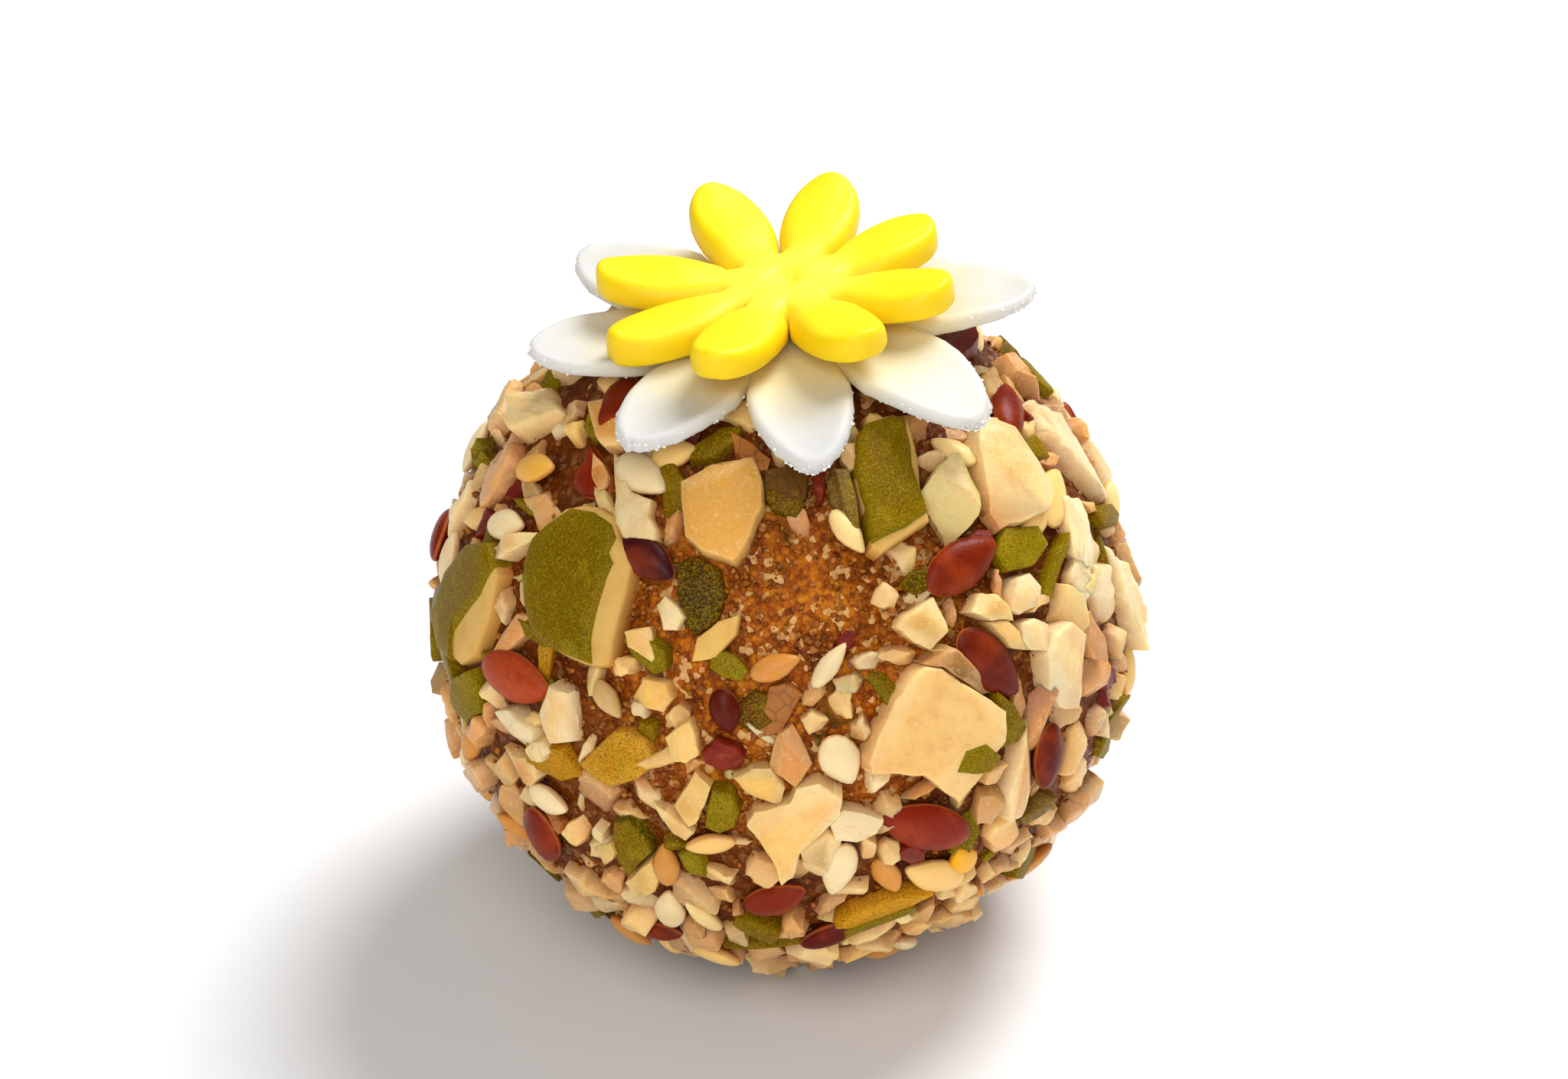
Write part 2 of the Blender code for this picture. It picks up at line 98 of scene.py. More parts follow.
def evenPlaces(count, low, high, offset):
    # places spread evenly between two heights; offset tells how far along its step each one lies
    low, high = math.sin(math.radians(low)), math.sin(math.radians(high))
    golden = 180.0 * (3.0 - math.sqrt(5.0))
    for step in range(count):
        yield step * golden % 360.0, math.degrees(math.asin(low + (high - low) * (step + offset()) / count))


def placeAlong(out, turn=0.0, lift=0.0, tilt=(0.0, 0.0)):
    # x lies along the piece and z out of the ball; tilt leans it over x and over y, in degrees
    east = Vector((0, 0, 1)).cross(out).normalized()
    turn = math.radians(turn)
    along = east * math.cos(turn) + out.cross(east) * math.sin(turn)
    place = Matrix((along, out.cross(along), out)).transposed().to_4x4()
    place.translation = Vector((0, 0, middle)) + out * (ball["radius"] + lift)
    lean = Matrix.Rotation(math.radians(tilt[0]), 4, "X") @ Matrix.Rotation(math.radians(tilt[1]), 4, "Y")
    return place @ lean


def outlineFromPhoto(pixels):
    # the outline in mm round its own middle, and the direction of that middle from the ball's
    points = [onBall(x, y, photo["outlineRadius"]) for x, y in pixels]
    out = (sum(points, Vector()) / len(points)).normalized()
    east = Vector((0, 0, 1)).cross(out).normalized()
    north = out.cross(east)
    return out, [(point.dot(east), point.dot(north)) for point in points]


def linear(colour):
    parts = [part / 255 for part in colour]
    return tuple(part / 12.92 if part < 0.0404 else ((part + 0.055) / 1.055) ** 2.4 for part in parts)


def within(value):
    return min(max(value, 0.0), 1.0)


tones = {  # as on a screen, 0 to 255
    "cream": (252, 200, 118), "white": (242, 216, 166), "pale": (248, 212, 142), "tan": (214, 142, 58),
    "pink": (224, 150, 76), "honey": (204, 122, 34), "grey": (204, 166, 106), "butter": (246, 196, 96),
    "toast": (238, 174, 66), "glow": (254, 224, 166), "brown": (154, 90, 28), "flesh": (222, 178, 98),
    "leafy": (222, 206, 116), "moist": (190, 122, 44), "olive": (116, 92, 0), "green": (132, 114, 6),
    "deepGreen": (66, 58, 6), "amber": (204, 142, 26), "bark": (120, 92, 44), "oliveBrown": (104, 70, 10),
    "flax": (128, 30, 2), "brightFlax": (128, 34, 0), "pinkFlax": (164, 62, 24), "darkFlax": (94, 20, 4),
    "deadFlax": (60, 12, 18), "skin": (130, 38, 18), "paleSkin": (182, 116, 54), "yellow": (252, 178, 6),
}

footPasteAndShade = {  # what lies low darkens towards the core's colour: partly the core's paste on it, partly painted contact shade
    "height": 0.7,
    "reach": 0.85,
    "losses": (0.48, 0.79, 0.97),
}
fadeSlope = 0.7  # how fast a second tone takes over across a piece
rootDepth = 0.8  # how far the pieces reach into the core
leastShare = 0.3  # to which a ring of a slab may shrink
softAbove = 0.35  # the angle from which an edge is worn
wholeReach = 1.08  # of a shard's corners, to its length and width


def layersOf(bm):
    floats, colours = bm.verts.layers.float, bm.verts.layers.float_color
    return {
        "edge": floats.get("edge") or floats.new("edge"),
        "skin": floats.get("skin") or floats.new("skin"),
        "tone": colours.get("tone") or colours.new("tone"),
    }


def markPiece(bm, tone, rimTone=None, skin=0.0, shade=1.0, fade=None, raised=0.0):
    # fade is a second tone, the direction it lies in and its share
    layers = layersOf(bm)
    inner, outer, other = (linear(tones[key]) for key in (tone, rimTone or tone, fade[0] if fade else tone))
    span = max(max(abs(vert.co.x), abs(vert.co.y)) for vert in bm.verts)
    for vert in bm.verts:
        share = vert[layers["edge"]]
        mixed = [a + (b - a) * share for a, b in zip(inner, outer)]
        if fade:
            along = (vert.co.x * math.cos(fade[1]) + vert.co.y * math.sin(fade[1])) / span
            share = fade[2] * within(0.5 + fadeSlope * along)
            mixed = [a + (b - a) * share for a, b in zip(mixed, other)]
        # painted contact shade, with the core's paste, darkens each piece towards its foot
        low = within((footPasteAndShade["height"] - vert.co.z - raised) / footPasteAndShade["reach"])
        mixed = [part * shade * (1.0 - low * loss) for part, loss in zip(mixed, footPasteAndShade["losses"])]
        vert[layers["tone"]] = (*mixed, 1.0)
        vert[layers["skin"]] = skin


def pressFlat(bm):
    # nothing reaches into what the ball rests on, or above the pressed top
    for vert in bm.verts:
        point = fromSeat @ vert.co
        if point.z > 0.0:
            point.z = 0.0
            vert.co = seatPlace @ point
        vert.co.z = max(vert.co.z, 0.0)


def finishPiece(name, bm, finish, slot, sharpAbove=None, *nodes):
    mesh = bpy.data.meshes.new(name)
    bmesh.ops.scale(bm, vec=(mm, mm, mm), verts=bm.verts)
    bm.to_mesh(mesh)
    bm.free()
    mesh.materials.append(finish)
    mesh.shade_smooth()
    if sharpAbove:
        mesh.set_sharp_from_angle(angle=math.radians(sharpAbove))
    obj = bpy.data.objects.new(name, mesh)
    bpy.context.scene.collection.objects.link(obj)
    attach(obj, "root")
    if nodes:
        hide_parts(*nodes)
    print(name, len(mesh.polygons), "faces")
    return obj


class Heap:  # pieces of one kind, joined in one mesh
    def __init__(self, name):
        self.name = name
        self.bm = bmesh.new()
        layersOf(self.bm)

    def add(self, piece, place):
        bmesh.ops.transform(piece, matrix=place, verts=piece.verts)
        bmesh.ops.recalc_face_normals(piece, faces=piece.faces)
        mesh = bpy.data.meshes.new("piece")
        piece.to_mesh(mesh)
        piece.free()
        self.bm.from_mesh(mesh)
        bpy.data.meshes.remove(mesh)

    def finish(self, finish, slot, sharpAbove=None):
        pressFlat(self.bm)
        finishPiece(self.name, self.bm, finish, slot, sharpAbove)


def cutFacets(bm, top, reach, facets):
    # planes that slope down outwards: direction, start as a share of the reach, and slope in degrees
    for direction, start, slope in facets:
        direction, slope = math.radians(direction), math.radians(slope)
        outwards = Vector((math.cos(direction), math.sin(direction), 0.0))
        bmesh.ops.bisect_plane(bm, geom=bm.verts[:] + bm.edges[:] + bm.faces[:], clear_outer=True,
                               plane_co=outwards * start * reach + Vector((0, 0, top)),
                               plane_no=outwards * math.sin(slope) + Vector((0, 0, math.cos(slope))))
        rim = [edge for edge in bm.edges if edge.is_boundary]
        if rim:
            bmesh.ops.edgeloop_fill(bm, edges=rim)


def softenEdges(bm, offset):
    edges = [edge for edge in bm.edges if edge.calc_face_angle(0.0) > softAbove]
    bmesh.ops.bevel(bm, geom=edges, offset=offset, segments=1, profile=0.5, affect="EDGES", material=-1,
                    clamp_overlap=True)


def slab(outline, top, steps, ragged, seed, bend=0.0):
    # an outline raised to its top, whose edge is rounded by rings: (how far in, rise) from the side up
    bm = bmesh.new()
    layers = layersOf(bm)
    ring = [bm.verts.new((x, y, 0.0)) for x, y in outline]
    for start, end in zip(ring, ring[1:] + ring[:1]):
        bm.edges.new((start, end))
    bmesh.ops.subdivide_edges(bm, edges=bm.edges[:], cuts=2, fractal=ragged, along_normal=0.0, seed=seed)
    for vert in bm.verts:
        vert.co.z = -rootDepth
        vert[layers["edge"]] = 1.0
    foot = bmesh.ops.edgeloop_fill(bm, edges=bm.edges[:])["faces"]
    # this operator and the fill after it give the same order of faces in every run
    face = bmesh.ops.extrude_discrete_faces(bm, faces=foot)["faces"][0]
    bmesh.ops.edgeloop_fill(bm, edges=[edge for edge in bm.edges if edge.is_boundary])
    for vert in face.verts:
        vert.co.z = top - sum(rise for inset, rise in steps)
    reach = math.sqrt(face.calc_area() / math.pi)
    centre = Matrix.Translation(-face.calc_center_bounds())
    for count, (inset, rise) in enumerate(steps):
        bmesh.ops.inset_region(bm, faces=[face], thickness=0.0)
        share = max(1.0 - inset / reach, leastShare)
        bmesh.ops.scale(bm, vec=(share, share, 1.0), space=centre, verts=face.verts)
        bmesh.ops.translate(bm, vec=(0, 0, rise), verts=face.verts)
        reach *= share
        for vert in face.verts:
            vert[layers["edge"]] = max(1.0 - (count + 1) / len(steps), 0.0)
    span = max(math.hypot(x, y) for x, y in outline)
    for vert in bm.verts:
        vert.co.z += bend * ((vert.co.x / span) ** 2 - 0.3)
    return bm


def shardOutline(length, width, sides, rough, rng):
    step = 2 * math.pi / sides
    points = []
    for side in range(sides):
        angle = step * (side + rng.uniform(-0.5, 0.5) * rough * 1.4)
        reach = rng.uniform(1.0 - rough, wholeReach)
        square = 1.0 / max(abs(math.cos(angle)), abs(math.sin(angle))) ** 0.5
        points.append((math.cos(angle) * reach * square * length / 2,
                       math.sin(angle) * reach * square * width / 2))
    return points


class Value:  # a socket that takes part in sums
    def __init__(self, finish, socket):
        self.finish, self.socket = finish, socket

    def sum(self, operation, first, second):
        return self.finish.node("ShaderNodeMath", {"operation": operation}, {0: first, 1: second})

    def __add__(self, other):
        return self.sum("ADD", self, other)

    def __radd__(self, other):
        return self.sum("ADD", other, self)

    def __sub__(self, other):
        return self.sum("SUBTRACT", self, other)

    def __rsub__(self, other):
        return self.sum("SUBTRACT", other, self)

    def __mul__(self, other):
        return self.sum("MULTIPLY", self, other)

    def __rmul__(self, other):
        return self.sum("MULTIPLY", other, self)


class Finish:
    # in a look, a layer of patches is its colour, share, size in mm, detail, roughness, the noise at which it
    # starts and is whole, and its distortion if it has any; a grain is size, detail and roughness
    def __init__(self, name, **constants):
        self.material = bpy.data.materials.new(name)
        self.material.use_nodes = True
        self.tree = self.material.node_tree
        self.shader = self.tree.nodes["Principled BSDF"]
        self.masks = {}
        self.put(constants)

    def put(self, values):
        for key, value in values.items():
            self.feed(self.shader.inputs[key.replace("_", " ")], value)

    def feed(self, socket, value):
        if isinstance(value, Value):
            self.tree.links.new(value.socket, socket)
        else:
            socket.default_value = value

    def node(self, kind, settings=None, inputs=None, output=0):
        made = self.tree.nodes.new(kind)
        for key, value in (settings or {}).items():
            if key == "stops":
                ramp = made.color_ramp
                for count, (place, colour) in enumerate(value):
                    stop = ramp.elements[count] if count < 2 else ramp.elements.new(place)
                    stop.position, stop.color = place, (*colour, 1.0)
            else:
                setattr(made, key, value)
        for key, value in (inputs or {}).items():
            self.feed(made.inputs[key], value)
        return Value(self, made.outputs[output])

    def coordinates(self):
        return self.node("ShaderNodeTexCoord", output="Object")

    def attribute(self, name, output="Fac"):
        return self.node("ShaderNodeAttribute", {"attribute_name": name}, output=output)

    def noise(self, size, detail=2.0, roughness=0.5, distortion=0.0):
        inputs = {"Vector": self.coordinates(), "Scale": 1.0 / (size * mm), "Detail": detail,
                  "Roughness": roughness, "Distortion": distortion}
        return self.node("ShaderNodeTexNoise", None, inputs)

    def fromMiddle(self):  # the distance from the upright axis
        flat = self.node("ShaderNodeVectorMath", {"operation": "MULTIPLY"},
                         {0: self.coordinates(), 1: (1.0, 1.0, 0.0)})
        return self.node("ShaderNodeVectorMath", {"operation": "LENGTH"}, {0: flat}, output="Value")

    def cells(self, size, feature="F1", output="Distance"):
        inputs = {"Vector": self.coordinates(), "Scale": 1.0 / (size * mm)}
        return self.node("ShaderNodeTexVoronoi", {"feature": feature}, inputs, output)

    def between(self, value, low, high):  # 0 below low, 1 above high
        inputs = {"Value": value, "From Min": low, "From Max": high}
        return self.node("ShaderNodeMapRange", {"interpolation_type": "SMOOTHSTEP"}, inputs)

    def ramp(self, value, stops):
        colours = [(place, linear(colour)) for place, colour in stops]
        return self.node("ShaderNodeValToRGB", {"stops": colours}, {"Fac": value})

    def mix(self, share, first, second):
        inputs = {0: share}
        for key, value in ((6, first), (7, second)):
            inputs[key] = value if isinstance(value, Value) else (*linear(value), 1.0)
        return self.node("ShaderNodeMix", {"data_type": "RGBA"}, inputs, output=2)

    def patches(self, layer):
        if layer not in self.masks:
            size, detail, roughness, low, high, *distortion = layer[2:]
            self.masks[layer] = self.between(self.noise(size, detail, roughness, *distortion), low, high)
        return self.masks[layer]

    def lay(self, under, *layers):
        for layer in layers:
            under = self.mix(self.patches(layer) * layer[1], under, layer[0])
        return under

    def bump(self, height, strength, distance):
        return self.node("ShaderNodeBump", None,
                         {"Height": height, "Strength": strength, "Distance": distance * mm})

    def done(self, **links):
        self.put(links)
        return self.material


def makeCoreFinish():
    look = {
        "stops": [(0.08, (100, 39, 0)), (0.95, (232, 161, 52)), (0.34, (158, 76, 2)), (0.6, (206, 118, 14))],
        "blotch": (3.2, 3.0, 0.6), "grain": 0.36, "fineGrain": 0.18, "fine": (0.12, 2.0),
        "orange": ((222, 122, 4), 0.3, 1.5, 2.0, 0.5, 0.56, 0.7),
        "glassyAndGlint": (236, 188, 122), "glassyAndGlintFrom": 0.82, "glassyAndGlintTo": 0.9, "glassyAndGlintShare": 0.8,
        "greenish": ((78, 66, 8), 0.75, 4.2, 2.0, 0.5, 0.64, 0.7, 0.4),
        "deep": (84, 31, 0), "gapShadeShare": 0.82, "relief": 0.11,
    }
    finish = Finish("boundCrumb", Subsurface_Weight=0.4, Subsurface_Scale=0.001, Specular_IOR_Level=0.12,
                    Subsurface_Radius=(1.0, 0.5, 0.15))
    grain, fineGrain = finish.cells(look["grain"]), finish.cells(look["fineGrain"])
    parts = finish.node("ShaderNodeSeparateColor", None, {0: finish.cells(look["grain"], output="Color")})
    # darker where the relief lies low and at the grains' rims: painted shade in the hollows
    level = finish.attribute("edge") * 0.45 + parts * 0.42 + finish.noise(*look["blotch"]) * 0.4
    colour = finish.lay(finish.ramp(level - grain * 0.35, look["stops"]), look["orange"])
    # pale glassy grains, lightened further as painted glints
    glassyAndGlint = finish.between(parts, look["glassyAndGlintFrom"], look["glassyAndGlintTo"])
    colour = finish.lay(finish.mix(glassyAndGlint * look["glassyAndGlintShare"], colour, look["glassyAndGlint"]), look["greenish"])
    # painted shade on the core where it lies deep between the pieces
    colour = finish.mix(finish.attribute("skin") * look["gapShadeShare"], colour, look["deep"])
    height = 1 - grain - fineGrain * 0.45 + finish.noise(*look["fine"]) * 0.25
    return finish.done(Base_Color=colour, Roughness=0.5 - glassyAndGlint * 0.25 - parts * 0.15,
                       Normal=finish.bump(height, 1.0, look["relief"]))


def makeCrumbFinish():
    look = {"dark": (128, 66, 14), "darkShare": 0.4, "darkSize": 0.3, "sheen": 0.6, "grain": (0.2, 2.0)}
    finish = Finish("looseCrumb", Subsurface_Weight=0.35, Subsurface_Scale=0.0006, Specular_IOR_Level=0.2,
                    Subsurface_Radius=(1.0, 0.55, 0.25))
    dark = finish.noise(look["darkSize"]) * look["darkShare"]
    return finish.done(Base_Color=finish.mix(dark, finish.attribute("tone", "Color"), look["dark"]),
                       Roughness=finish.noise(look["sheen"]) * 0.3 + 0.22,
                       Normal=finish.bump(finish.noise(*look["grain"]), 0.4, 0.06))


def makeNutFinish():
    look = {
        "mottle": ((210, 142, 52), 0.3, 2.2, 2.0, 0.5, 0.42, 0.7),
        "fibre": ((200, 136, 58), 0.14, 0.8, 3.0, 0.6, 0.55, 0.62, 1.2),
        "pores": ((251, 226, 172), 0.34, 0.25, 3.0, 0.65, 0.56, 0.7),
        "rim": (251, 226, 172), "paleRimAndGlowShare": 0.18, "coarse": (0.6, 4.0, 0.65), "fine": (0.16, 3.0, 0.7),
    }
    finish = Finish("nutFlesh", Subsurface_Weight=0.45, Subsurface_Scale=0.0008, Specular_IOR_Level=0.38,
                    Subsurface_Radius=(1.0, 0.55, 0.22))
    colour = finish.lay(finish.attribute("tone", "Color"), look["mottle"], look["fibre"], look["pores"])
    # a paler rim: partly the pale cut edge, partly painted light shining through the thin edges
    rim = finish.between(finish.attribute("edge"), 0.3, 0.7)
    height = finish.noise(*look["coarse"]) * 1.2 + finish.noise(*look["fine"]) * 0.7
    return finish.done(Base_Color=finish.mix(rim * look["paleRimAndGlowShare"], colour, look["rim"]),
                       Roughness=finish.patches(look["mottle"]) * 0.16 + 0.22,
                       Normal=finish.bump(height, 0.7, 0.12))


def makeGreenFinish():
    look = {
        "patches": (None, 0.4, 2.6, 2.0, 0.5, 0.36, 0.66),
        "mottle": ((142, 90, 0), 0.22, 0.17, 3.0, 0.7, 0.44, 0.58),
        "worn": ((172, 150, 28), 0.35, 1.6, 3.0, 0.6, 0.5, 0.72),
        "grit": ((172, 150, 28), 0.45, 0.13, 2.0, 0.7, 0.52, 0.6),
        "speckle": ((50, 40, 0), 0.55, 0.11, 2.0, 0.7, 0.52, 0.62),
        "fleshShade": ((206, 150, 70), 0.4, 1.3, 2.0, 0.5, 0.4, 0.7),
        "coarse": (0.9, 3.0), "fine": (0.12, 2.0, 0.6),
    }
    finish = Finish("pumpkinSeedSkin", Subsurface_Weight=0.15, Subsurface_Scale=0.0008,
                    Specular_IOR_Level=0.06, Subsurface_Radius=(1.0, 0.8, 0.2))
    tone = finish.attribute("tone", "Color")
    share = finish.patches(look["patches"]) * look["patches"][1] + look["mottle"][1]
    green = finish.mix(finish.patches(look["mottle"]) * share, tone, look["mottle"][0])
    green = finish.lay(green, look["worn"], look["grit"], look["speckle"])
    skin = finish.between(finish.attribute("skin"), 0.4, 0.6)
    height = finish.noise(*look["fine"]) * 0.7 + finish.noise(*look["coarse"]) * 1.3
    return finish.done(Base_Color=finish.mix(skin, finish.lay(tone, look["fleshShade"]), green),
                       Roughness=0.45 - finish.patches(look["speckle"]) * 0.1,
                       Normal=finish.bump(height, 0.3, 0.1))


def makeFlaxFinish():
    look = {
        "blush": ((196, 80, 30), 0.3, 2.0, 2.0, 0.5, 0.42, 0.7),
        "dark": ((80, 14, 2), 0.35, 1.3, 3.0, 0.5, 0.52, 0.75),
        "margin": (206, 116, 58), "marginShare": 0.6, "pits": 0.18, "pitShare": 0.16, "sheen": (0.5, 2.0),
    }
    finish = Finish("flaxCoat", Coat_Roughness=0.3, Subsurface_Weight=0.1, Subsurface_Scale=0.0006,
                    Specular_IOR_Level=0.1, Subsurface_Radius=(1.0, 0.3, 0.1))
    colour = finish.lay(finish.attribute("tone", "Color"), look["blush"], look["dark"])
    margin = finish.between(finish.attribute("edge"), 0.8, 0.99)
    colour = finish.mix(margin * look["marginShare"], colour, look["margin"])
    pits, gloss = finish.cells(look["pits"]), finish.noise(*look["sheen"])
    colour = finish.mix(finish.between(pits, 0.3, 0.7) * look["pitShare"], colour, look["dark"][0])
    return finish.done(Base_Color=colour, Roughness=gloss * 0.2 + 0.3, Coat_Weight=gloss * 0.16,
                       Normal=finish.bump(pits, 0.35, 0.05))


def makeSesameFinish():
    look = {
        "cloud": ((220, 174, 112), 0.24, 1.1, 2.0, 0.5, 0.42, 0.72),
        "line": (188, 120, 62), "lineShare": 0.5, "grain": (0.24, 3.0, 0.6),
    }
    finish = Finish("sesameHull", Subsurface_Weight=0.4, Subsurface_Scale=0.001, Specular_IOR_Level=0.25,
                    Subsurface_Radius=(1.0, 0.65, 0.35))
    edge = finish.attribute("edge")
    line = finish.between(edge, 0.72, 0.9) * finish.between(edge, 1.0, 0.94)
    colour = finish.lay(finish.attribute("tone", "Color"), look["cloud"])
    return finish.done(Base_Color=finish.mix(line * look["lineShare"], colour, look["line"]),
                       Roughness=finish.patches(look["cloud"]) * 0.15 + 0.34,
                       Normal=finish.bump(finish.noise(*look["grain"]), 0.35, 0.07))


def makeSkinFinish():
    look = {
        "vein": (64, 16, 10), "veinShare": 0.4, "veinSize": 0.9, "grain": (0.4, 3.0, 0.6),
        "dry": ((182, 104, 50), 0.35, 0.8, 3.0, 0.6, 0.55, 0.75),
    }
    finish = Finish("drySkin", Subsurface_Weight=0.1, Subsurface_Scale=0.0005, Specular_IOR_Level=0.15)
    veins = finish.between(finish.cells(look["veinSize"], "DISTANCE_TO_EDGE"), 0.07, 0.01)
    colour = finish.mix(veins * look["veinShare"], finish.attribute("tone", "Color"), look["vein"])
    return finish.done(Base_Color=finish.lay(colour, look["dry"]),
                       Roughness=finish.patches(look["dry"]) * 0.2 + 0.38,
                       Normal=finish.bump(finish.noise(*look["grain"]), 0.5, 0.12))


def makeWhiteFinish():
    look = {
        "white": (205, 204, 198), "cool": ((198, 199, 201), 0.4, 3.5, 2.0, 0.5, 0.4, 0.7),
        "yellowBounce": (238, 216, 140), "yellowBounceShare": 0.75, "yellowBounceFrom": 6.5, "yellowBounceTo": 13.5,
        "coarse": (0.9, 4.0, 0.6), "fine": (0.16, 2.0, 0.6),
    }
    finish = Finish("whiteSugarPaste", Subsurface_Weight=0.65, Subsurface_Scale=0.003, Specular_IOR_Level=0.3,
                    Subsurface_Radius=(1.0, 0.9, 0.75))
    # painted yellow glow near the middle, standing in for light bounced from the yellow flower
    yellowBounce = 1 - finish.between(finish.fromMiddle(), look["yellowBounceFrom"] * mm, look["yellowBounceTo"] * mm)
    colour = finish.mix(yellowBounce * look["yellowBounceShare"], finish.lay(look["white"], look["cool"]), look["yellowBounce"])
    height = finish.noise(*look["coarse"]) + finish.noise(*look["fine"]) * 0.35
    return finish.done(Base_Color=colour, Roughness=finish.patches(look["cool"]) * 0.1 + 0.5,
                       Normal=finish.bump(height, 0.35, 0.12))


def makePasteCrumbFinish():
    look = {"light": (250, 249, 246), "dark": (236, 234, 226), "size": 0.4, "sheen": 0.3,
            "grain": (0.12, 2.0)}
    finish = Finish("whitePasteCrumb", Specular_IOR_Level=0.3)
    return finish.done(Base_Color=finish.mix(finish.noise(look["size"]), look["light"], look["dark"]),
                       Roughness=finish.noise(look["sheen"]) * 0.2 + 0.45,
                       Normal=finish.bump(finish.noise(*look["grain"]), 0.3, 0.04))


def makeYellowFinish():
    look = {
        "yellow": (250, 223, 10), "pale": (253, 238, 70), "paleFrom": 1.5, "paleTo": 6.5,
        "deep": ((252, 200, 0), 0.2, 3.0, 2.0, 0.5, 0.4, 0.7), "tipShadeFrom": 6.0, "tipShadeTo": 10.5,
        "coarse": (0.7, 4.0, 0.65), "fine": (0.14, 2.0, 0.6),
    }
    finish = Finish("yellowSugarPaste", Subsurface_Weight=0.5, Subsurface_Scale=0.0025,
                    Specular_IOR_Level=0.3, Subsurface_Radius=(1.0, 0.85, 0.1))
    cloud, reach = finish.patches(look["deep"]), finish.fromMiddle()
    pale = 1 - finish.between(reach, look["paleFrom"] * mm, look["paleTo"] * mm)
    # painted shade on the petals' sides and towards their tips, mixed with a real deeper yellow in random
    # patches
    tip = finish.between(reach, look["tipShadeFrom"] * mm, look["tipShadeTo"] * mm)
    deep = cloud * look["deep"][1] + finish.attribute("edge") * 0.5 + tip * 0.2
    colour = finish.mix(deep, finish.mix(pale, look["yellow"], look["pale"]), look["deep"][0])
    height = finish.noise(*look["coarse"]) + finish.noise(*look["fine"]) * 0.4
    return finish.done(Base_Color=colour, Roughness=cloud * 0.1 + 0.46,
                       Normal=finish.bump(height, 0.35, 0.12))


def buildCore():
    core = {
        "detail": 7, "lump": 0.22, "lumpSpacing": 7.0, "crumb": 0.22, "crumbSize": 0.8, "fineCrumb": 0.1,
        "fineCrumbSize": 0.45, "hollow": 0.3, "hollowSize": 2.6,
        # degrees from this place, past which the core is darkened: painted shade where it lies deep between
        # the pieces
        "barePlace": (-1, 24), "bareReach": 34.0,
    }
    bm = bmesh.new()
    layers = layersOf(bm)
    bmesh.ops.create_icosphere(bm, subdivisions=core["detail"], radius=ball["radius"])
    bare = directionOf(*core["barePlace"])
    for vert in bm.verts:
        out = vert.co.normalized()
        # the core's skin layer holds its painted shade between the pieces
        vert[layers["skin"]] = within(math.degrees(out.angle(bare)) / core["bareReach"]) ** 3
        lump = core["lump"] * noise.noise(vert.co / core["lumpSpacing"])
        near = noise.voronoi(vert.co / core["crumbSize"])[0]
        fine = noise.voronoi(vert.co / core["fineCrumbSize"] + Vector((9, 4, 2)))[0]
        crumb, fineCrumb = (min(1.2 * (found[1] - found[0]), 1.0) for found in (near, fine))
        hollow = max(noise.noise(vert.co / core["hollowSize"] + Vector((3, 7, 5))), 0.0)
        rise = lump + core["crumb"] * (crumb - 0.5) + core["fineCrumb"] * (fineCrumb - 0.5)
        vert.co += out * (rise - core["hollow"] * hollow)
        # the relief's height, kept for the painted shade in the hollows
        vert[layers["edge"]] = 0.55 * crumb + 0.35 * fineCrumb + 0.25 - 0.6 * hollow
    bmesh.ops.translate(bm, vec=(0, 0, middle), verts=bm.verts)
    pressFlat(bm)
    finishPiece("boundCore", bm, makeCoreFinish(), "ladoo_core", None, "ladoo_ball")


